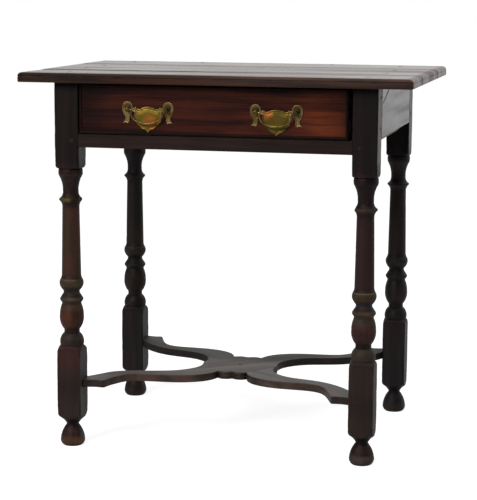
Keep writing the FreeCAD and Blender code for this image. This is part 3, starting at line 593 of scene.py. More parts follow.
def foot_worn(timber, colour, rough):
    """Flanks rubbed red between the lobes and the heels; painted shade on the flanks at the lobes and heels,
    and on the two arms behind.
    """
    flank = timber.ease(timber.facing("Z"), 0.6, 0.3)
    outward = timber.apart("X", 0.0)
    # Painted shade: the flanks are darkened at the lobes in the middle and at the heels.
    kept = timber.ease(outward, 0.070, 0.050) + timber.ease(outward, 0.200, 0.214)
    patch = timber.ease(timber.noise(timber.place, 26.0, 3.0, 0.6), 0.40, 0.60)
    behind = timber.ease(timber.coordinate("Y"), -0.03, 0.03)
    colour = timber.mix(flank * patch * (1.0 - behind) * 0.55, colour, (0.080, 0.038, 0.024))
    colour = timber.deepen(flank * kept * 0.85, colour, (0.30, 0.30, 0.32))
    # Painted shade: the flanks of the two arms behind are darkened.
    colour = timber.deepen(flank * behind * 0.8, colour, (0.34, 0.36, 0.40))
    packed = timber.ease(outward, 0.236, 0.250) * (patch * 0.4 + 0.6)
    colour = timber.deepen(packed * 0.75, colour, (0.28, 0.24, 0.22))
    seam = timber.unsigned((timber.coordinate("X") - 0.075) * 0.828 - timber.coordinate("Y") * 0.560)
    seam = timber.ease(seam, 0.0018, 0.0006) * timber.ease(timber.coordinate("Y"), 0.004, -0.002)
    colour = timber.deepen(seam * 0.8, colour, (0.25, 0.22, 0.22))
    # Painted shade: the two arms behind are darkened all over, and made a little rougher.
    shaded_back_arms = timber.ease(timber.coordinate("Y"), 0.01, 0.07)
    return timber.deepen(shaded_back_arms, colour, (0.42, 0.43, 0.45)), rough + shaded_back_arms * 0.10


print("stretcher rises", round(math.degrees(RISE), 1), "degrees from the long side")

# %% The arm that was sawn fuller
SAWN_FULLER = (((-0.2230, -0.2215), 0.046, (7.0, 4.0)), ((-0.2080, -0.1750), 0.034, (0.0, -6.0)),
               ((-0.2430, -0.1630), 0.040, (0.0, -9.5)))
ARM_START = -0.14
CREEP = 3.4


def crisp_top(made):
    """Shade the level faces apart from all others, so that a rounding never tints them."""
    level = [abs(face.normal.z) > 0.995 for face in made.polygons]
    sides = {}
    for face in made.polygons:
        for key in face.edge_keys:
            sides.setdefault(key, []).append(level[face.index])
    for edge in made.edges:
        if len(set(sides[edge.key])) == 2:
            edge.use_edge_sharp = True


def lifted_arm(node, finish):
    """Lift the front left end and push its heel, waist and ankle; each push is a spot, a reach and a way."""
    low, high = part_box(node)
    skin = welded_copy(node)
    slice_up(skin, 0, low.x, ARM_START, 6.0 * MM)
    bmesh.ops.remove_doubles(skin, verts=skin.verts, dist=0.04 * MM)
    for vert in skin.verts:
        x, y, z = vert.co
        if x < ARM_START and y < 0.0:
            vert.co.z = z + CREEP * MM * smooth_step(-x, 0.155, 0.240)
            for spot, reach, way in SAWN_FULLER:
                near = smooth_step(math.dist((x, y), spot), reach, 0.004)
                vert.co.x += way[0] * MM * near
                vert.co.y += way[1] * MM * near
    bmesh.ops.triangulate(skin, faces=skin.faces)
    made = bpy.data.meshes.new(node + "_lifted")
    skin.to_mesh(made)
    skin.free()
    piece = settle(node + "_lifted", made, 30.0)
    crisp_top(made)
    made.materials.clear()
    made.materials.append(finish)
    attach(piece, "frame")
    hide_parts(node)
    print(piece.name, len(made.polygons), "faces")


print("pushes on the arm:", len(SAWN_FULLER))

# %% Stretcher and pegs
LEG_PEG_TONES = ((0.010, 0.0068, 0.0062), (0.016, 0.0100, 0.0090), (0.024, 0.0145, 0.0125))

stretcher_finish = {"stretcher_upper": ((0.0, 0.0, -RISE), (0.4, 0.05, -0.08)),
                    "stretcher_lower": ((0.0, 0.0, RISE), (-0.4, -0.04, -0.09))}
# On the stretcher the pale arrises are rubbed wood and also a painted edge highlight.
for node, (turn, pith) in stretcher_finish.items():
    dress(node, old_wood(node + "_wood", turn, pith, STRETCHER_TONES, gloss=0.46, shine=0.27, rub=0.6,
                         rub_tone=(0.100, 0.066, 0.044), soft=0.0030, extra=foot_worn))
lifted_arm("stretcher_upper", nodes["stretcher_upper"].data.materials[0])
for node, tones in (("frame_pegs", PEG_TONES), ("stretcher_pegs", LEG_PEG_TONES),
                    ("stretcher_centre_pin", STRETCHER_TONES)):
    dress(node, old_wood(node + "_wood", "z", (0.2, 0.003, 0.002), tones, spacing=0.0012, gloss=0.5,
                         shine=0.18, rub=0.0))
print("stretcher and pegs dressed")

# %% [markdown]
# ## The top
# Three boards have lain side by side for centuries, and none has stayed flat. Each has cupped a
# little, so at a joint one edge now stands a hair above its neighbour, and seen from low down
# that hair is a dark line. Their ends are nibbled and uneven. This can't come from a finish,
# because a finish doesn't move an edge. So each board is a welded copy of the joiner's board,
# cut into strips, and its points are lowered or drawn in by a rule that reads their place.

# %% A worn board
STRIP = 11.0 * MM
PIECE = 26.0 * MM
END_STRIP = 1.2 * MM
END_REACH = 12.0 * MM
ROUND_REACH = 11.0 * MM
NIBBLE_REACH = 30.0 * MM
NIBBLE_DEPTH = 0.4
END_DROP = 3.2
CUP_WANDER = 0.25
CUP_STARTS = 0.35


def smooth_noise(x, seed, scale):
    """A wandering number between -1 and 1 along a line."""
    return noise.noise(Vector((x * scale, seed * 7.31, seed * 2.17)))


def worn_board(node, seed, dip, spared):
    """Lower the back edge by dip, round the ends down, and nibble them; the underside stays level.

    spared is the share of the dip that is missing on the right.
    """
    low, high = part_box(node)
    skin = welded_copy(node)
    slice_up(skin, 1, low.y, high.y, STRIP)
    slice_up(skin, 0, low.x, high.x, PIECE)
    slice_up(skin, 0, low.x, low.x + END_REACH, END_STRIP)
    slice_up(skin, 0, high.x - END_REACH, high.x, END_STRIP)
    for vert in skin.verts:
        x, y, z = vert.co
        lift = max(0.0, (z - low.z) / (high.z - low.z))
        inside = min(x - low.x, high.x - x) / ROUND_REACH
        back = smooth_step((y - low.y) / (high.y - low.y), CUP_STARTS, 1.0)
        wander = 0.5 + 0.5 * smooth_noise(x, seed, 5.0)
        left = 1.0 - spared * smooth_step(x, -0.10, 0.10)
        cupped = dip * left * back * (0.75 + 0.5 * wander) + CUP_WANDER * wander * (1.0 - back)
        vert.co.z = z - lift * MM * (cupped + END_DROP * max(0.0, 1.0 - inside) ** 2)
        for end, way in ((low.x, 1.0), (high.x, -1.0)):
            near = max(0.0, 1.0 - abs(x - end) / NIBBLE_REACH)
            ragged = (0.5 + 0.5 * smooth_noise(y, seed + way, 22.0)) ** 2
            vert.co.x += way * near * MM * NIBBLE_DEPTH * ragged
    bmesh.ops.triangulate(skin, faces=skin.faces)
    made = bpy.data.meshes.new(node + "_worn")
    skin.to_mesh(made)
    skin.free()
    return settle(node + "_worn", made, 30.0)


print("a board is cut into strips of", STRIP / MM, "mm")

# %% Dirt, wear and painted edge shade of the top
TOP_TONES = ((0.024, 0.012, 0.009), (0.056, 0.028, 0.019), (0.110, 0.056, 0.038))
EDGE_DARK = (0.0125, 0.0062, 0.0040)
EDGE_LIGHT = (0.056, 0.0205, 0.0095)
QUIRK_HEIGHT = 0.7033


def top_dirt_and_edge_shade(low, high):
    """Dirt packed into the joints at low and high, dry reddish streaks where the wax has gone, and painted
    shade on the lower band of the front edge.
    """
    def add(timber, colour, rough):
        patchy = timber.noise(timber.long, 60.0, 2.0, 0.5)
        packed = timber.ease(timber.coordinate("X"), 0.10, -0.10) * 0.8 + 0.2
        for middle in (low, high):
            line = timber.ease(timber.apart("Y", middle) + patchy * 0.006, 0.009, 0.003)
            line = line * (packed if middle < 0.0 else 0.25)
            colour = timber.deepen(line * 0.8, colour, (0.2, 0.2, 0.2))
            rough = rough + line * 0.3
        bald = timber.ease(timber.noise(timber.long, 16.0, 3.0, 0.6), 0.52, 0.68)
        colour = timber.mix(bald * 0.5, colour, (0.150, 0.066, 0.046))
        tilt = timber.facing("Z")
        edge = timber.ease(tilt, 0.92, 0.60) * timber.ease(timber.facing("Y"), -0.5, -0.85)
        streaky = timber.mix(timber.streaks(60.0, 0.42, 0.60), EDGE_DARK, EDGE_LIGHT)
        colour = timber.mix(edge * 0.85, colour, streaky)
        rise = timber.coordinate("Z")
        # Painted shade: the front edge is darker below the quirk, where it turns away from the light.
        colour = timber.deepen(timber.ease(rise, 0.7030, 0.7018) * edge * 0.6, colour, (0.60, 0.42, 0.40))
        quirk = timber.ease(timber.apart("Z", QUIRK_HEIGHT), 0.0017, 0.0007) * timber.ease(tilt, 0.98, 0.90)
        colour = timber.deepen(quirk * (patchy * 0.5 + 0.4), colour, (0.12, 0.12, 0.12))
        across = timber.coordinate("X")
        sawn = timber.ease(across, -0.353, -0.361) + timber.ease(across, 0.350, 0.360) * 0.35
        return colour, rough + bald * 0.10 + edge * 0.34 + sawn * 0.30
    return add


print("top tones", TOP_TONES)

# %% Three boards
TOP_BOARDS = {"top_board_front": {"pith": (0.3, 0.02, -0.62), "dip": 0.90, "spared": 0.80},
              "top_board_middle": {"pith": (-0.8, 0.09, -0.66), "dip": 0.30, "spared": 0.30},
              "top_board_back": {"pith": (1.7, -0.14, -0.64), "dip": 0.40, "spared": 0.30}}

for index, (node, trait) in enumerate(TOP_BOARDS.items()):
    low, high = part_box(node)
    board = worn_board(node, index + 1.0, trait["dip"], trait["spared"])
    board.data.materials.clear()
    board.data.materials.append(old_wood(node + "_wood", "x", trait["pith"], TOP_TONES, gloss=0.24,
                                         dry=0.12, shine=0.32, rub=0.4, rub_tone=(0.110, 0.050, 0.030),
                                         relief=0.10, extra=top_dirt_and_edge_shade(low.y, high.y)))
    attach(board, "frame")
    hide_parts(node)
    print(board.name, len(board.data.polygons), "faces")
dress("top_pegs", old_wood("top_pegs_wood", "z", (0.2, 0.003, 0.002), PEG_TONES, spacing=0.0012,
                           gloss=0.5, shine=0.3))

# %% [markdown]
# ## Brass and iron
# Cast brass goes olive brown where nobody rubs it and stays yellow where fingers touch. The
# colour therefore follows two things: broad clouds of tarnish, and nearness to an edge, which
# is where polish lasts. In places the zinc has left the metal, and it shines copper red there.
# The nails are hand forged iron, dark with a rough skin.

# %% Brass
COPPER_RED = (0.420, 0.140, 0.030)
PALE_EAR = (0.310, 0.215, 0.110)
EAR_SHADE = (0.040, 0.026, 0.008)
POLISHED = (0.62, 0.46, 0.22)
EAR_REACH = 38.0 * MM


def brass(name, clean, copper=None, ears=None, dull=(0.095, 0.070, 0.014)):
    """Cast brass, clean to dull.

    copper is the middle of a patch where the zinc has gone, and ears is the x and z of the point
    halfway between a plate's two ears.
    """
    finish = Finish(name)
    cloud = finish.noise(finish.place, 48.0, 4.0, 0.6)
    speck = finish.noise(finish.place, 420.0, 3.0, 0.6)
    tarnish = finish.ease(cloud * 0.7 + speck * 0.3, 0.36, 0.62)
    colour = finish.mix(tarnish, clean, dull)
    if copper:
        apart = finish.node("ShaderNodeVectorMath", {"operation": "DISTANCE"},
                            {0: finish.place, 1: copper}, "Value")
        patch = finish.ease(apart + (cloud - 0.5) * 0.02, 0.0165, 0.009)
        colour = finish.mix(patch * 0.9, colour, COPPER_RED)
    if ears:
        pale = finish.ease(finish.apart("X", ears[0]), 0.019, 0.026) * finish.ease(cloud, 0.30, 0.55)
        colour = finish.mix(pale * 0.7, colour, PALE_EAR)
        # Painted shade: a dark disc round each post in the middle of an ear.
        outward = finish.apart("X", ears[0]) - EAR_REACH
        rise = finish.coordinate("Z") - ears[1]
        ring = finish.node("ShaderNodeMath", {"operation": "SQRT"}, {0: outward * outward + rise * rise})
        colour = finish.mix(finish.ease(ring, 0.0080, 0.0060) * 0.9, colour, EAR_SHADE)
    polished = finish.near_edge(0.0012)
    colour = finish.mix(polished * 0.75, colour, POLISHED)
    rough = 0.28 + tarnish * 0.22 + speck * 0.08 - polished * 0.05
    bump = finish.node("ShaderNodeBump", {}, {"Strength": 0.35, "Distance": 0.0003,
                                             "Height": finish.noise(finish.place, 220.0, 3.0, 0.5)}, "Normal")
    return finish.close({"Base Color": colour, "Metallic": 0.9, "Roughness": rough, "Normal": bump})


print("brass finish ready")

# %% Iron
def iron(name):
    """Forged iron: black scale with rust between."""
    finish = Finish(name)
    skin = finish.noise(finish.place, 600.0, 4.0, 0.6)
    colour = finish.mix(finish.ease(skin, 0.4, 0.65), (0.030, 0.026, 0.024), (0.075, 0.035, 0.018))
    bump = finish.node("ShaderNodeBump", {}, {"Strength": 0.6, "Distance": 0.0004, "Height": skin}, "Normal")
    return finish.close({"Base Color": colour, "Metallic": 0.6, "Roughness": 0.45 + skin * 0.3,
                         "Normal": bump})


print("iron finish ready")

# %% Dress the metal
EAR_DROP = 10.5 * MM

brass_finish = brass("old_brass", (0.420, 0.290, 0.060))
# The posts get a much darker brass, which is painted shade in the ears' centres.
shaded_post_finish = brass("post_brass", (0.150, 0.105, 0.030), dull=(0.050, 0.036, 0.012))
# The right bail is given a much brighter brass than the left: a painted highlight on the right bail and
# painted shade on the left.
BRASS_PLACES = {
    "left": {"clean": (0.335, 0.195, 0.028), "dull": (0.165, 0.120, 0.017),
             "copper": (-0.1175, -0.233, 0.6220), "bail": (0.250, 0.165, 0.045)},
    "right": {"clean": (0.235, 0.160, 0.028), "dull": (0.095, 0.075, 0.016),
              "copper": (0.098, -0.233, 0.645), "bail": (0.520, 0.360, 0.120)}}
plate_finish, bail_finish = {}, {}
for side, tone in BRASS_PLACES.items():
    low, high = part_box("handle_plate_" + side)
    between = ((low.x + high.x) / 2.0, high.z - EAR_DROP)
    plate_finish[side] = brass("old_brass_" + side, tone["clean"], tone["copper"], between, tone["dull"])
    bail_finish[side] = brass("bail_brass_" + side, tone["bail"])
iron_finish = iron("forged_iron")
for node in nodes:
    if node.startswith(("handle_", "bail_")):
        dress(node, shaded_post_finish if "posts" in node else brass_finish)
    if node.endswith("nails"):
        dress(node, iron_finish)
print("brass and iron dressed")

# %% [markdown]
# ## Turned legs
# Each leg is one stick of wood, left square where the rails enter and turned round between.
# A turner thinks of it as a profile: how far the tool stands from the centre at each height.
# A modeller could spin that line, but the square blocks would be lost. So we use a rule for
# every point instead: the radius is the profile's or the square's, whichever is smaller, just
# as a lathe only cuts what sticks out. First the profile is drawn, and measured for how far
# each height stands proud of its neighbours, because that is what gets rubbed.

# %% The turner's profile
BLOCK_HALF = 23.0 * MM
BLOCK_CORNER = 32.53
FOOT_RADIUS = 17.5
PLAIN_LENGTH = 60.0
LEG_STEPS = [
    (23.2, 13.0, 0.16), (11.8, 40.0, 0.075), (11.8, 42.0, 0.0), (23.0, 54.0, -0.06),
    (BLOCK_CORNER, 68.0, 0.10), (BLOCK_CORNER, 181.0, 0.0),
    (23.2, 193.0, 0.05), (21.9, 194.5, 0.0), (14.7, 218.5, 0.15), (14.7, 225.0, 0.0), (22.9, 251.5, 0.10),
    (18.4, 274.0, 0.05), (18.4, 275.5, 0.0), (22.0, 281.0, -0.06), (22.0, 284.5, 0.0), (15.3, 295.0, 0.0),
    (15.3, 299.0, 0.0), (21.6, 308.0, 0.05), (21.6, 320.0, 0.10), (18.3, 329.0, -0.06), (16.1, 458.0, 0.0),
    (22.0, 471.0, -0.12), (22.0, 473.5, 0.0), (14.9, 485.0, -0.12), (14.9, 494.0, 0.0),
    (22.4, 518.0, -0.06), (22.4, 529.5, 0.05), (21.0, 531.5, 0.0), (26.0, 531.5, 0.0),
    (BLOCK_CORNER, 546.0, 0.16), (BLOCK_CORNER, 691.5, 0.0)]


def bow_points(start, end, bow, step):
    """Points after start along an arc that stands off its chord by a share of it, to the right of the way."""
    way = np.array(end) - np.array(start)
    length = float(np.hypot(*way))
    count = max(1, math.ceil(length / step))
    share = np.arange(1, count + 1) / count
    if bow == 0.0:
        return np.array(start) + share[:, None] * way
    swing = 4.0 * math.atan(2.0 * bow)
    radius = length / 2.0 / math.sin(swing / 2.0)
    angle = (share - 0.5) * swing
    along = 0.5 + radius * np.sin(angle) / length
    aside = (radius * np.cos(angle) - radius * math.cos(swing / 2.0)) / length
    right = np.array((way[1], -way[0]))
    return np.array(start) + along[:, None] * way + aside[:, None] * right


def leg_profile():
    """The whole line from the floor up; each step is a radius, a height, and the bow of the way there."""
    points = [np.array([(FOOT_RADIUS, 0.0)])]
    for radius, height, bow in LEG_STEPS:
        start = points[-1][-1]
        plain = abs(height - start[1]) > PLAIN_LENGTH
        points.append(bow_points(tuple(start), (radius, height), bow, 4.0 if plain else 0.75))
    return np.concatenate(points)


profile = leg_profile()
reach = np.abs(profile[:, None, 1] - profile[None, :, 1])
weight = np.clip(1.0 - reach / 12.0, 0.0, None)
stand = profile[:, 0] - (weight * np.minimum(profile[None, :, 0], 26.0)).sum(1) / weight.sum(1)
print("leg profile:", len(profile), "heights, stands", stand.min().round(2), "to", stand.max().round(2), "mm")

# %% [markdown]
# ## A bench for geometry trees
# A geometry tree is a recipe for a shape: named sizes go in, a mesh comes out. It is built with
# the same calls as a finish. Once it has run, its result is kept as a plain mesh and the recipe
# is taken off, because a piece that is handed back must be finished work.

# %% Bench: a tree that makes geometry
class Bench(Web):
    """A geometry tree with named sizes going in and one mesh coming out."""

    def __init__(self, name, sizes):
        super().__init__(bpy.data.node_groups.new(name, "GeometryNodeTree"))
        face = self.tree.interface
        face.new_socket("Geometry", in_out="INPUT", socket_type="NodeSocketGeometry")
        for label, kind in sizes:
            face.new_socket(label, in_out="INPUT", socket_type="NodeSocket" + kind)
        face.new_socket("Geometry", in_out="OUTPUT", socket_type="NodeSocketGeometry")
        self.entry = self.tree.nodes.new("NodeGroupInput")

    def size(self, label):
        return Wire(self, self.entry.outputs[label])

    def math(self, operation, first, second=0.0):
        return self.node("ShaderNodeMath", {"operation": operation}, {0: first, 1: second})

    def parts(self, vector):
        return [self.node("ShaderNodeSeparateXYZ", {}, {0: vector}, axis) for axis in "XYZ"]

    def vector(self, x, y, z):
        return self.node("ShaderNodeCombineXYZ", {}, {0: x, 1: y, 2: z})

    def keep(self, geometry, name, value):
        return self.node("GeometryNodeStoreNamedAttribute", {"data_type": "FLOAT", "domain": "POINT"}, {
            "Geometry": geometry, "Name": name, "Value": value})

    def send(self, geometry):
        real = self.node("GeometryNodeRealizeInstances", {}, {"Geometry": geometry})
        coated = self.node("GeometryNodeSetMaterial", {},
                           {"Geometry": real, "Material": self.size("Finish")})
        self.node("NodeGroupOutput", {}, {"Geometry": coated})
        return self.tree


print("bench ready")

# %% Run a tree
def make_piece(name, tree, start, values):
    """Run a tree on a starting mesh or curve, and keep the result as a plain mesh."""
    maker = bpy.data.objects.new(name + "_maker", start)
    bpy.context.scene.collection.objects.link(maker)
    modifier = maker.modifiers.new("tree", "NODES")
    modifier.node_group = tree
    for item in tree.interface.items_tree:
        if item.item_type == "SOCKET" and item.in_out == "INPUT" and item.name in values:
            modifier[item.identifier] = values[item.name]
    graph = bpy.context.evaluated_depsgraph_get()
    made = bpy.data.meshes.new_from_object(maker.evaluated_get(graph), depsgraph=graph)
    bpy.data.objects.remove(maker)
    return settle(name, made)


print("trees can be run")

# %% [markdown]
# ## One tree, four legs
# Geometry Nodes apply the turner's rule to a fine tube, and add what a lathe never gives:
# rounded arrises, small dents, a chip in the collar, and a slight ovalness from three hundred
# years of shrinking. One tree makes all four legs, each with its own seed. It also marks where
# bare wood shows and where an arris runs, so that the finish can find them.

# %% The leg tree: rows and corners
def profile_at_row(bench, z):
    """Radius, height and stand of the profile's point for this row of the tube."""
    line = bench.size("Geometry")
    row = bench.math("ROUND", (z + 0.5) * (bench.size("Rows") - 1.0))
    drawn = bench.node("GeometryNodeSampleIndex", {"data_type": "FLOAT_VECTOR", "domain": "POINT"}, {
        "Geometry": line, "Value": bench.node("GeometryNodeInputPosition"), "Index": row})
    radius, height = bench.parts(drawn)[::2]
    stored = bench.node("GeometryNodeInputNamedAttribute", {"data_type": "FLOAT"}, {"Name": "stand"})
    proud = bench.node("GeometryNodeSampleIndex", {"data_type": "FLOAT", "domain": "POINT"}, {
        "Geometry": line, "Value": stored, "Index": row})
    return radius, height, proud


def crowded_angle(bench, x, y):
    """The angle of each point, with the points of every ring crowded towards the four arrises."""
    quarter = bench.math("ARCTAN2", y, x) * (2.0 / math.pi)
    whole = bench.math("FLOOR", quarter)
    off = (quarter - whole - 0.5) * 2.0
    crowded = off * (off * off * 0.62 + 0.38)
    return (whole + 0.5 + crowded * 0.5) * (math.pi / 2.0)


print("rows and corners ready")

# %% The leg tree: arrises and chips
COLLAR_MIDDLE = 472.5 * MM
CHIP_TILT = math.radians(18.0)
CHIP_PLANE = 17.8 * MM
CHIP_HALF_HEIGHT = 5.0 * MM
CHIP_SIDE = 11.5 * MM
CHAFE_STARTS = 0.42
LOWER_ENDS = ((66.0, 80.0), (183.0, 170.0))
UPPER_END = (543.0, 558.0)


def worn_arris(bench, chafe, height):
    """How much of a block's arris is gone: chafed all along, and more at the ends of the blocks."""
    worn = bench.math("MAXIMUM", chafe - CHAFE_STARTS, 0.0) * 3.5
    arris = bench.size("Arris") * (worn + 0.7)
    upper = bench.math("GREATER_THAN", height, 400.0 * MM)
    ends = [(*end, 1.0 - upper) for end in LOWER_ENDS] + [(*UPPER_END, upper)]
    for end, start, share in ends:
        arris = arris + bench.ease(height, start * MM, end * MM) * share * bench.size("End Wear")
    return arris


def chipped_collar(bench, turned, height, cosine, across, knock):
    """Break the collar off along a tilted plane on the chip side, and tell where bare wood shows."""
    rise = height - COLLAR_MIDDLE
    facing = bench.math("MAXIMUM", cosine * bench.size("Chip Side"), 0.02)
    broken = (CHIP_PLANE - rise * math.sin(CHIP_TILT)) / (facing * math.cos(CHIP_TILT))
    ragged = (knock - 0.5) * 0.006
    inside = (bench.math("LESS_THAN", bench.unsigned(rise + ragged), CHIP_HALF_HEIGHT)
              * bench.math("LESS_THAN", across + ragged, CHIP_SIDE) * bench.unsigned(bench.size("Chip Side")))
    chipped = turned - inside * bench.math("MAXIMUM", turned - broken, 0.0)
    return chipped, inside * bench.math("GREATER_THAN", turned - broken, 0.0002)


print("chip plane tilted", round(math.degrees(CHIP_TILT)), "degrees")

# %% The leg tree
LEG_SIZES = (("Sides", "Int"), ("Rows", "Int"), ("Half Block", "Float"), ("Arris", "Float"),
             ("End Wear", "Float"), ("Dent", "Float"), ("Oval", "Float"), ("Seed", "Float"),
             ("Chip Side", "Float"), ("Place X", "Float"), ("Place Y", "Float"), ("Finish", "Material"))


def leg_tree():
    bench = Bench("turned_leg", LEG_SIZES)
    tube = bench.node("GeometryNodeMeshCylinder", {"fill_type": "NGON"}, {
        "Vertices": bench.size("Sides"), "Side Segments": bench.size("Rows") - 1.0, "Radius": 1.0,
        "Depth": 1.0}, "Mesh")
    x, y, z = bench.parts(bench.node("GeometryNodeInputPosition"))
    radius, height, proud = profile_at_row(bench, z)
    angle = crowded_angle(bench, x, y)
    cosine, sine = bench.math("COSINE", angle), bench.math("SINE", angle)
    wide, deep = bench.unsigned(cosine), bench.unsigned(sine)

    spot = bench.vector(cosine * radius + bench.size("Seed"), sine * radius, height)
    chafe = bench.node("ShaderNodeTexNoise", {}, {"Vector": spot, "Scale": 38.0, "Detail": 3.0}, "Fac")
    knock = bench.node("ShaderNodeTexNoise", {}, {"Vector": spot, "Scale": 85.0, "Detail": 2.0}, "Fac")
    flat = bench.size("Half Block") / bench.math("MAXIMUM", wide, deep)
    corner = (bench.size("Half Block") * 2.0 - worn_arris(bench, chafe, height)) / (wide + deep)
    oval = 1.0 - bench.size("Oval") * (bench.math("COSINE", angle * 2.0 + bench.size("Seed")) + 1.0) * 0.5
    turned = bench.math("MINIMUM", bench.math("MINIMUM", radius * oval, flat), corner)
    chipped, bare = chipped_collar(bench, turned, height, cosine, sine * radius, knock)
    final = chipped - bench.math("MAXIMUM", knock - 0.60, 0.0) * bench.size("Dent") * 8.0

    ridge = bench.math("LESS_THAN", corner, flat + 0.0004) * bench.math("LESS_THAN", flat, radius * 1.02)
    marked = tube
    for name, value in (("proud", proud), ("ridge", ridge), ("bare", bare)):
        marked = bench.keep(marked, name, value)
    place = bench.vector(cosine * final + bench.size("Place X"), sine * final + bench.size("Place Y"), height)
    return bench.send(bench.node("GeometryNodeSetPosition", {}, {"Geometry": marked, "Position": place}))


leg_maker = leg_tree()
print("leg tree nodes:", len(leg_maker.nodes))

# %% [markdown]
# ## How the legs have worn
# A turned leg wears by its shape: dust and wax stay in the hollows and go black, while cloths
# and knees rub the beads down to tan. Each turning is found by its height, and a table says
# what colour it has taken. Boots have stained and scuffed the lower blocks and the feet. The
# front pair has been handled and shows all of this, while the back pair shows little of it and
# is painted darker and cooler, as shade. The rules are long, so they are told in three parts,
# one after another.

# %% Colours of the legs
LEG_TONES = ((0.0070, 0.0040, 0.0040), (0.0130, 0.0068, 0.0062), (0.0300, 0.0130, 0.0100))
# In LEGS, flank is how much of the lower block's right face is painted with a grey sheen instead of shade,
# and high_flank paints the upper block's right face lit.
LEGS = {
    "leg_front_left": {"chip": 1.0, "shine": 0.15, "flank": 0.60, "ball": 0.25, "spot": (-0.2815, 0.013)},
    "leg_front_right": {"chip": -1.0, "shine": 0.12, "flank": 0.0, "ball": 0.65, "spot": (0.279, 0.030),
                        "high_flank": 0.55, "neck": (0.55, 0.62, 0.85)},
    "leg_back_left": {"chip": 0.0, "shine": 0.15, "flank": 0.55},
    "leg_back_right": {"chip": 0.0, "shine": 0.17, "flank": 0.55}}
# In LEGS, spot places a painted highlight on the front of the collar, and the collar hue here is its colour.
HUES = {
    "leg_front_left": {
        "rubbed": (0.078, 0.054, 0.026), "collar": (0.110, 0.092, 0.013), "shaft": (0.068, 0.017, 0.014),
        "grey": (0.044, 0.028, 0.014), "cove": (0.040, 0.036, 0.028), "disc": (0.080, 0.058, 0.034),
        "shoulder": (0.080, 0.046, 0.022), "belly": (0.082, 0.026, 0.012), "high": (0.0075, 0.0044, 0.0042),
        "block": (0.048, 0.017, 0.0135), "low": (0.024, 0.0155, 0.0155), "foot": (0.098, 0.045, 0.024)},
    "leg_front_right": {
        "rubbed": (0.052, 0.038, 0.022), "collar": (0.046, 0.037, 0.021), "shaft": (0.032, 0.011, 0.012),
        "grey": (0.024, 0.0145, 0.0155), "cove": (0.036, 0.034, 0.040), "disc": (0.086, 0.056, 0.038),
        "shoulder": (0.056, 0.042, 0.030), "belly": (0.056, 0.022, 0.018), "high": (0.0092, 0.0074, 0.0076),
        "block": (0.034, 0.022, 0.020), "low": (0.030, 0.020, 0.018), "foot": (0.062, 0.044, 0.043)}}
BALL_TONE = (0.036, 0.031, 0.021)
TORUS_HIGHLIGHT_TONE = (0.150, 0.112, 0.066)
BARE_TONE = (0.080, 0.060, 0.035)
ARRIS_TONE = (0.055, 0.036, 0.028)
LIT_FLANK = (0.230, 0.215, 0.205)
print("hues for", len(HUES), "front legs")

# %% Heights of the turnings
THROAT, COLLAR, COLLAR_HIGHLIGHT, SHAFT = 0.502, 0.4725, 0.4718, 0.392
TORUS_HIGHLIGHT, CUP, BELLY, BALL = 0.3205, 0.3145, 0.246, 0.2065
SCRIBED = ((0.1940, 0.0020, 0.0008), (0.1865, 0.0017, 0.0007))
RINGS = {"disc": (0.2815, 0.0065, 0.50), "cove": (0.2980, 0.0065, 0.60), "shoulder": (0.2690, 0.0090, 0.50)}
LOWER_BLOCK, SCUFF, ANKLE, FOOT = 0.1245, 0.114, 0.0475, 0.011


class LegMarks:
    """What the wear of one leg is worked out from."""

    def __init__(self, timber, node):
        self.front = node in HUES
        self.share = 1.0 if self.front else 0.3
        self.hues = HUES.get(node, HUES["leg_front_left"])
        self.trait = LEGS[node]
        self.proud, self.ridge, self.bare = (
            timber.node("ShaderNodeAttribute", {"attribute_name": name}, {}, "Fac")
            for name in ("proud", "ridge", "bare"))
        self.patchy = timber.ease(timber.noise(timber.place, 42.0, 4.0, 0.62), 0.36, 0.64)
        self.rise = timber.coordinate("Z")
        self.sideways = timber.facing("X")
        self.turned = timber.ease(self.rise, 0.531, 0.527) * timber.band(LOWER_BLOCK, 0.069, 0.073)


print("collar at", COLLAR, "m, foot at", FOOT, "m")

# %% Wear of the turnings
def turning_wear(timber, colour, leg):
    """Dirt in the hollows, wax rubbed off what stands proud, and the colours of the long parts."""
    patchy, share, hues = leg.patchy, leg.share, leg.hues
    colour = timber.deepen(timber.ease(leg.proud, -0.4, -2.2) * 0.8, colour, (0.40, 0.42, 0.45))
    sparse = timber.ease(timber.noise(timber.place, 30.0, 3.0, 0.6), 0.50, 0.62)
    rubbed = timber.ease(leg.proud, 0.1, 2.8) * (patchy * 0.8 + 0.2) * leg.turned
    rubbed = rubbed * (1.0 - timber.band(COLLAR, 0.020, 0.012) * (1.0 - sparse * 0.3))
    colour = timber.mix(rubbed * share, colour, hues["rubbed"])
    colour = timber.mix(timber.band(BALL, 0.0125, 0.0095) * leg.trait.get("ball", 0.0), colour, BALL_TONE)
    belly = timber.band(BELLY, 0.025, 0.010) * (patchy * 0.7 + 0.3)
    colour = timber.mix(belly * 0.75 * share, colour, hues["belly"])
    along = timber.band(SHAFT, 0.074, 0.055)
    soft = timber.ease(timber.noise(timber.squeezed(0.35), 34.0, 3.0, 0.6), 0.40, 0.66)
    colour = timber.mix(along * 0.55 * share, colour, hues["grey"])
    colour = timber.mix(along * soft * 0.60 * share, colour, hues["shaft"])
    swell = timber.band(CUP, 0.0095, 0.0060) * (patchy * 0.6 + 0.4)
    return timber.mix(swell * 0.6 * share, colour, hues["rubbed"])


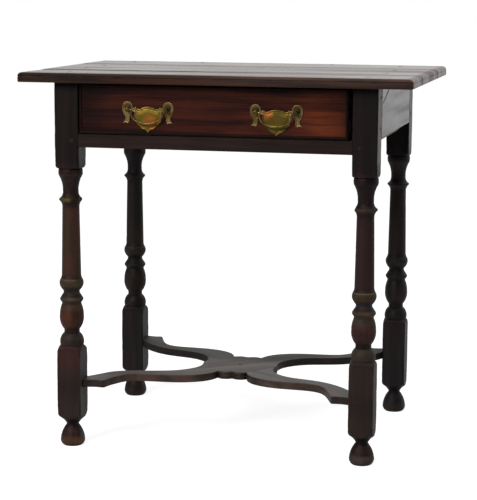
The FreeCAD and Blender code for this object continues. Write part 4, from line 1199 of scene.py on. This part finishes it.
def ring_wear(timber, colour, leg):
    """The thin turnings: tinted rings, a painted highlight line on the torus, two scribed lines, the ankle,
    and a painted highlight on the collar.
    """
    for name, (height, reach, strong) in RINGS.items() if leg.front else ():
        ring = timber.band(height, reach * 1.3, reach * 0.3) * (leg.patchy * 0.5 + 0.5)
        colour = timber.mix(ring * strong, colour, leg.hues[name])
    # Painted highlight: a pale line along the top of the torus.
    line = timber.band(TORUS_HIGHLIGHT, 0.0013, 0.0005) * (leg.patchy * 0.5 + 0.1)
    colour = timber.mix(line * leg.share, colour, TORUS_HIGHLIGHT_TONE)
    scribed = timber.band(*SCRIBED[0]) + timber.band(*SCRIBED[1])
    colour = timber.deepen(scribed * 0.8, colour, (0.18, 0.18, 0.20))
    colour = timber.deepen(timber.band(ANKLE, 0.0130, 0.0070) * 0.75, colour, (0.38, 0.38, 0.40))
    # Painted highlight: a yellow-olive spot on the front of the collar.
    if "spot" in leg.trait:
        place, reach = leg.trait["spot"]
        spot = timber.ease(timber.apart("X", place), reach, reach * 0.3)
        spot = spot * timber.band(COLLAR_HIGHLIGHT, 0.0050, 0.0020)
        spot = spot * timber.ease(timber.coordinate("Y"), -0.198, -0.206)
        colour = timber.mix(spot * (leg.patchy * 0.3 + 0.45), colour, leg.hues["collar"])
    return colour


print("turnings worn by", turning_wear.__name__, "and", ring_wear.__name__)

# %% Wear of the blocks and the ends
def block_wear(timber, colour, leg):
    """Boots have stained and scuffed the lower block; its right face has a painted grey sheen, and on the
    front right leg painted shade.
    """
    drift = timber.noise(timber.place, 30.0, 2.0, 0.5) * 0.03
    stain = timber.mix(timber.ease(leg.rise + drift, 0.156, 0.184), leg.hues["low"], leg.hues["block"])
    low = (1.0 - leg.turned) * timber.ease(leg.rise, 0.22, 0.20)
    colour = timber.mix(low * 0.50 * leg.share, colour, stain)
    scuffed = timber.ease(timber.apart("Z", SCUFF) + drift, 0.045, 0.025)
    colour = timber.deepen(scuffed * 0.45 * leg.share, colour, (0.45, 0.50, 0.50))
    # Painted light on the lower block's right face: a grey sheen as far as flank says, painted shade for the
    # rest.
    flank = timber.ease(leg.sideways, 0.75, 0.95) * timber.ease(leg.rise, 0.20, 0.18)
    right_face_sheen = leg.trait["flank"]
    colour = timber.deepen(flank * (1.0 - right_face_sheen) * 0.7, colour, (0.55, 0.36, 0.26))
    tone = timber.mix(timber.ease(leg.rise, 0.10, 0.15), (0.066, 0.066, 0.050), (0.075, 0.062, 0.070))
    colour = timber.mix(flank * right_face_sheen, colour, tone)
    plain = timber.band(LOWER_BLOCK, 0.053, 0.047) + timber.ease(leg.rise, 0.552, 0.558)
    return timber.mix(leg.ridge * leg.patchy * plain * 0.5 * leg.share, colour, ARRIS_TONE)


def end_wear(timber, colour, leg):
    """The scuffed foot, bare wood in the chips, the throat, the upper block, and painted shade on the back
    legs.
    """
    foot = timber.band(FOOT, 0.011, 0.004) * (leg.patchy * 0.5 + 0.5)
    colour = timber.mix(foot * 0.8 * leg.share, colour, leg.hues["foot"])
    colour = timber.mix(leg.bare * 0.35, colour, BARE_TONE)
    throat = timber.band(THROAT, 0.030, 0.022)
    colour = timber.deepen(throat * 0.7 * leg.share, colour, leg.trait.get("neck", (1.0, 1.0, 1.0)))
    upper = timber.ease(leg.rise, 0.530, 0.550)
    colour = timber.deepen(upper * 0.6, colour, (0.42, 0.38, 0.42))
    colour = timber.mix(upper * 0.65, colour, leg.hues["high"])
    pale = timber.ease(leg.sideways, 0.85, 0.97) * timber.ease(leg.rise, 0.552, 0.560)
    colour = timber.mix(pale * leg.trait.get("high_flank", 0.0), colour, LIT_FLANK)
    # Painted shade: the back legs are darkened and cooled.
    return colour if leg.front else timber.deepen(0.8, colour, (0.52, 0.86, 1.04))


def leg_wear(node):
    """All the wear of one leg, in the order in which it came."""
    def add(timber, colour, rough):
        leg = LegMarks(timber, node)
        for wear in (turning_wear, ring_wear, block_wear, end_wear):
            colour = wear(timber, colour, leg)
        return colour, rough + leg.bare * 0.2 - timber.ease(leg.rise, 0.530, 0.550) * 0.08
    return add


print("leg wear ready for", len(LEGS), "legs")

# %% Four legs
line_mesh = bpy.data.meshes.new("leg_line")
line_mesh.from_pydata([(radius * MM, 0.0, height * MM) for radius, height in profile], [], [])
line_mesh.attributes.new("stand", "FLOAT", "POINT").data.foreach_set("value", stand.astype(np.float32))

for index, (node, trait) in enumerate(LEGS.items()):
    low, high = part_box(node)
    centre = (low + high) / 2.0
    pith = (0.3 * index, 0.004 - centre.y, 0.003 + centre.x)
    leg_finish = old_wood(node + "_wood", "z", pith, LEG_TONES, gloss=0.48, shine=trait["shine"],
                          dark=0.3, rub=0.0, extra=leg_wear(node))
    leg = make_piece("turned_" + node, leg_maker, line_mesh, {
        "Sides": 80, "Rows": len(profile), "Half Block": BLOCK_HALF, "Arris": 1.5 * MM, "End Wear": 1.2 * MM,
        "Dent": 0.35 * MM, "Oval": 0.008, "Seed": 3.7 * index + 1.3, "Chip Side": trait["chip"],
        "Place X": centre.x, "Place Y": centre.y, "Finish": leg_finish})
    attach(leg, "frame")
    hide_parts(node)
    print(leg.name, len(leg.data.vertices), "points")

# %% [markdown]
# ## Cast back plates
# A back plate was cast flat in sand and then filed and chased: a rounded rim is left standing
# along the whole outline, and the ground inside it is cut back a little and swells again
# towards the middle of the shield. Everything follows from one number, the distance to the
# outline. So the outline is taken from the joiner's plate and filed a little, the front is
# filled with points, some in rows that follow the rim and the rest in an even field, and each
# point is raised by a rule on its distance. Filling between fixed points is what a Delaunay
# triangulation does.

# %% The outline of a plate
def outline_loop(mesh):
    """The longest ring of edges round the back of a plate, in order, as x and z in millimetres."""
    skin = bmesh.new()
    skin.from_mesh(mesh)
    bmesh.ops.remove_doubles(skin, verts=skin.verts, dist=1e-6)
    skin.normal_update()
    back = {face for face in skin.faces if face.normal.y > 0.99}
    border = [edge for edge in skin.edges if sum(face in back for face in edge.link_faces) == 1]
    joined = {}
    for edge in border:
        for one, other in (edge.verts, reversed(edge.verts)):
            joined.setdefault(one, []).append(other)
    loops = []
    while joined:
        start = next(iter(joined))
        loop = [start]
        while joined.get(loop[-1]):
            here = loop[-1]
            ahead = joined[here].pop()
            joined[ahead].remove(here)
            loop.append(ahead)
        for point in loop:
            joined.pop(point, None)
        loops.append(np.array([(point.co.x, point.co.z) for point in loop[:-1]]) / MM)
    skin.free()
    return max(loops, key=lambda loop: np.ptp(loop[:, 0]))


def even_loop(loop, step):
    """The same ring with a point every step, its sharp corners kept."""
    spaced = []
    for start, end in zip(loop, np.roll(loop, -1, 0)):
        count = max(1, round(float(np.hypot(*(end - start))) / step))
        spaced.extend(start + (end - start) * share / count for share in range(count))
    return np.array(spaced)


print("outline helpers ready")

# %% Inside the outline
def far_from(points, loop):
    """Distance from each point to a ring."""
    start, end = loop, np.roll(loop, -1, 0)
    way = end - start
    ahead = points[:, None] - start[None]
    share = np.clip((ahead * way).sum(2) / (way ** 2).sum(1), 0.0, 1.0)
    return np.sqrt(((ahead - share[..., None] * way) ** 2).sum(2)).min(1)


def within(points, loop):
    """True for points inside a ring."""
    start, end = loop, np.roll(loop, -1, 0)
    crosses = (start[None, :, 1] > points[:, None, 1]) != (end[None, :, 1] > points[:, None, 1])
    rise = np.where(end[:, 1] == start[:, 1], 1.0, end[:, 1] - start[:, 1])
    reach = start[:, 0] + (points[:, None, 1] - start[:, 1]) * (end - start)[:, 0] / rise
    return (crosses & (points[:, None, 0] < reach)).sum(1) % 2 == 1


print("distances and insides ready")

# %% The founder's file and the thickness
VALLEY_RAISED, VALLEY_X, VALLEY_REACH = 2.2, 13.5, 4.5
FLANK_DRAWN, FLANK_DROP, FLANK_REACH = 1.6, 46.5, 3.5
TIP_SHARPER, TIP_REACH = 2.0, 5.0
CROWN_DROP, TIP_DROP = 20.0, 45.0
FLANK_IN, FLANK_OUT = 8.0, 20.0
EDGE_THICK, RIM_RISE, RIM_ROUND = 0.95, 0.85, 0.8
GROUND_THICK, GROUND_SWELL = 1.05, 0.55
CHASED_IN, CHASED_WIDE, CHASED_DEEP = 3.7, 0.32, 0.22
SHIELD_HALF = 24.0


def bump_at(value, middle, reach):
    """A smooth hill of height one round a middle."""
    return np.exp(-((value - middle) / reach) ** 2)


def filed(loop, middle, top):
    """The outline after the founder's file: shallower valleys, straighter flanks and a sharper tip."""
    aside = np.abs(loop[:, 0] - middle)
    drop = top - loop[:, 1]
    raised = VALLEY_RAISED * bump_at(aside, VALLEY_X, VALLEY_REACH) * (drop < CROWN_DROP)
    drawn = FLANK_DRAWN * bump_at(drop, FLANK_DROP, FLANK_REACH) * (aside < FLANK_OUT) * (aside > FLANK_IN)
    sharper = TIP_SHARPER * np.clip(1.0 - aside / TIP_REACH, 0.0, 1.0) * (drop > TIP_DROP)
    return np.stack((loop[:, 0] - np.sign(loop[:, 0] - middle) * drawn, loop[:, 1] + raised - sharper), 1)


def plate_height(far, points, middle):
    """How thick the plate is at a distance from its outline, in millimetres."""
    inward = np.clip(far / RIM_ROUND, 0.0, 1.0)
    rim = EDGE_THICK + RIM_RISE * np.sqrt(np.clip(1.0 - (1.0 - inward) ** 2, 0.0, 1.0))
    ground = GROUND_THICK + GROUND_SWELL * smooth_step(far, 2.4, 11.0)
    height = rim + (ground - rim) * smooth_step(far, 1.2, 2.2)
    chased = bump_at(far, CHASED_IN, CHASED_WIDE) * CHASED_DEEP
    shield = np.abs(points[:, 0] - middle) < SHIELD_HALF
    return height - chased * shield


print("valleys filed", VALLEY_RAISED, "mm shallower")

# %% Points of a plate
RIM_POINTS = (0.15, 0.35, 0.6, 0.9, 1.2, 1.5, 1.8, 2.1, 2.5)
LOOP_STEP = 0.7
FIELD_STEP = 0.6
FIELD_ROW = FIELD_STEP * 0.866
FIELD_IN = 2.8
TIP_ROOM = 3.0


def plate_points(low, high, loop):
    """Points that fill the outline: rows that follow the rim, and an even field inside them."""
    way = np.roll(loop, -1, 0) - np.roll(loop, 1, 0)
    inward = np.stack((-way[:, 1], way[:, 0]), 1) / np.hypot(*way.T)[:, None]
    if not within(loop[:1] + inward[:1] * 0.05, loop)[0]:
        inward = -inward
    rows = np.concatenate([loop + inward * reach for reach in RIM_POINTS])
    wanted = np.repeat(RIM_POINTS, len(loop))
    rows = rows[within(rows, loop) & (far_from(rows, loop) > wanted * 0.97)]
    across = np.arange(low.x / MM, high.x / MM, FIELD_STEP)
    upward = np.arange(low.z / MM - TIP_ROOM, high.z / MM, FIELD_ROW)
    field = np.array([(x + FIELD_STEP / 2.0 * (row % 2), z) for row, z in enumerate(upward) for x in across])
    field = field[within(field, loop)]
    return np.concatenate((rows, field[far_from(field, loop) > FIELD_IN]))


print("rows along the rim:", len(RIM_POINTS))

# %% Cast a plate
def cast_plate(node):
    low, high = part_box(node)
    middle = (low.x + high.x) / 2.0 / MM
    loop = filed(even_loop(outline_loop(nodes[node].data), LOOP_STEP), middle, high.z / MM)
    edges = [(index, (index + 1) % len(loop)) for index in range(len(loop))]
    flat = [Vector(point) for point in np.concatenate((loop, plate_points(low, high, loop)))]
    filled = delaunay_2d_cdt(flat, edges, [], 1, 1e-6)
    points, faces = np.array([tuple(point) for point in filled[0]]), filled[2]
    thick = plate_height(far_from(points, loop), points, middle)
    back = high.y
    skin = bmesh.new()
    front = [skin.verts.new((x * MM, back - tall * MM, z * MM)) for (x, z), tall in zip(points, thick)]
    rear = [skin.verts.new((x * MM, back, z * MM)) for x, z in points]
    for face in faces:
        skin.faces.new([front[index] for index in face])
        skin.faces.new([rear[index] for index in reversed(face)])
    for edge in [edge for edge in skin.edges if edge.is_boundary and edge.verts[0].co.y < back - 1e-5]:
        one, other = (front.index(vert) for vert in edge.verts)
        skin.faces.new((front[one], front[other], rear[other], rear[one]))
    made = bpy.data.meshes.new(node + "_cast")
    skin.to_mesh(made)
    skin.free()
    return settle(node + "_cast", made, 50.0)


print("plates stand proud of their backs by", EDGE_THICK, "to", EDGE_THICK + RIM_RISE, "mm")

# %% Two back plates
for side in ("left", "right"):
    node = "handle_plate_" + side
    plate = cast_plate(node)
    plate.data.materials.append(plate_finish[side])
    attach(plate, "drawer")
    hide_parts(node)
    print(plate.name, len(plate.data.polygons), "faces")

# %% [markdown]
# ## Bails
# A bail is the hanging grip of a handle: a thin cast bar, bent round and swelling towards the
# middle, where fingers take it, with a pin at each end that turns in its post. It is a line
# with a changing thickness, so it is drawn as a curve. The tree rounds the two bends, sets the
# thickness from how low each point hangs, and runs a circle along the whole line.

# %% The bail tree
BAIL_SIZES = (("Bend", "Float"), ("Straight", "Float"), ("Sag", "Float"), ("Pin Radius", "Float"),
              ("End Radius", "Float"), ("Grip Radius", "Float"), ("Axis Z", "Float"), ("Finish", "Material"))


def bail_tree():
    bench = Bench("cast_bail", BAIL_SIZES)
    line = bench.node("GeometryNodeMeshToCurve", {}, {"Mesh": bench.size("Geometry")}, "Curve")
    bent = bench.node("GeometryNodeFilletCurve", {"mode": "POLY"}, {
        "Curve": line, "Radius": bench.size("Bend"), "Limit Radius": True, "Count": 4})
    fine = bench.node("GeometryNodeResampleCurve", {"mode": "LENGTH"}, {"Curve": bent, "Length": 0.0007})
    x, y, z = bench.parts(bench.node("GeometryNodeInputPosition"))
    drop = bench.size("Axis Z") - z
    hang = bench.math("MAXIMUM", drop - bench.size("Straight"), 0.0) / bench.size("Sag")
    bar = bench.size("End Radius") + (bench.size("Grip Radius") - bench.size("End Radius")) * hang * hang
    on_pin = bench.math("LESS_THAN", drop, 0.0003)
    thick = on_pin * bench.size("Pin Radius") + (1.0 - on_pin) * bar
    ring = bench.node("GeometryNodeCurvePrimitiveCircle", {"mode": "RADIUS"},
                      {"Resolution": 20, "Radius": 1.0}, "Curve")
    swept = bench.node("GeometryNodeCurveToMesh", {}, {
        "Curve": fine, "Profile Curve": ring, "Scale": thick, "Fill Caps": True})
    return bench.send(swept)


bail_maker = bail_tree()
print("bail tree nodes:", len(bail_maker.nodes))

# %% Two bails
PIN_LENGTH = 6.0 * MM
BAIL_STRAIGHT = 8.0 * MM
BAIL_SAG = 17.2 * MM
END_RADIUS = 1.7 * MM


def bail_line(name, middle, half, axis_z):
    points = [(middle.x - half - PIN_LENGTH, middle.y, axis_z), (middle.x - half, middle.y, axis_z)]
    for step in range(37):
        angle = math.pi * step / 36.0
        points.append((middle.x - half * math.cos(angle), middle.y,
                       axis_z - BAIL_STRAIGHT - BAIL_SAG * math.sin(angle)))
    points += [(middle.x + half, middle.y, axis_z), (middle.x + half + PIN_LENGTH, middle.y, axis_z)]
    line = bpy.data.meshes.new(name + "_line")
    line.from_pydata(points, [(index, index + 1) for index in range(len(points) - 1)], [])
    return line


for side, finish in bail_finish.items():
    node = "bail_" + side
    low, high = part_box(node)
    middle = (low + high) / 2.0
    axis_z = high.z - END_RADIUS
    half = (high.x - low.x) / 2.0 - PIN_LENGTH
    bail = make_piece(node + "_cast", bail_maker, bail_line(node, middle, half, axis_z), {
        "Bend": 2.2 * MM, "Straight": BAIL_STRAIGHT, "Sag": BAIL_SAG, "Pin Radius": 1.5 * MM,
        "End Radius": END_RADIUS, "Grip Radius": 2.4 * MM, "Axis Z": axis_z, "Finish": finish})
    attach(bail, node)
    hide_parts(node)
    print(bail.name, len(bail.data.polygons), "faces, half width", round(half / MM, 2), "mm")
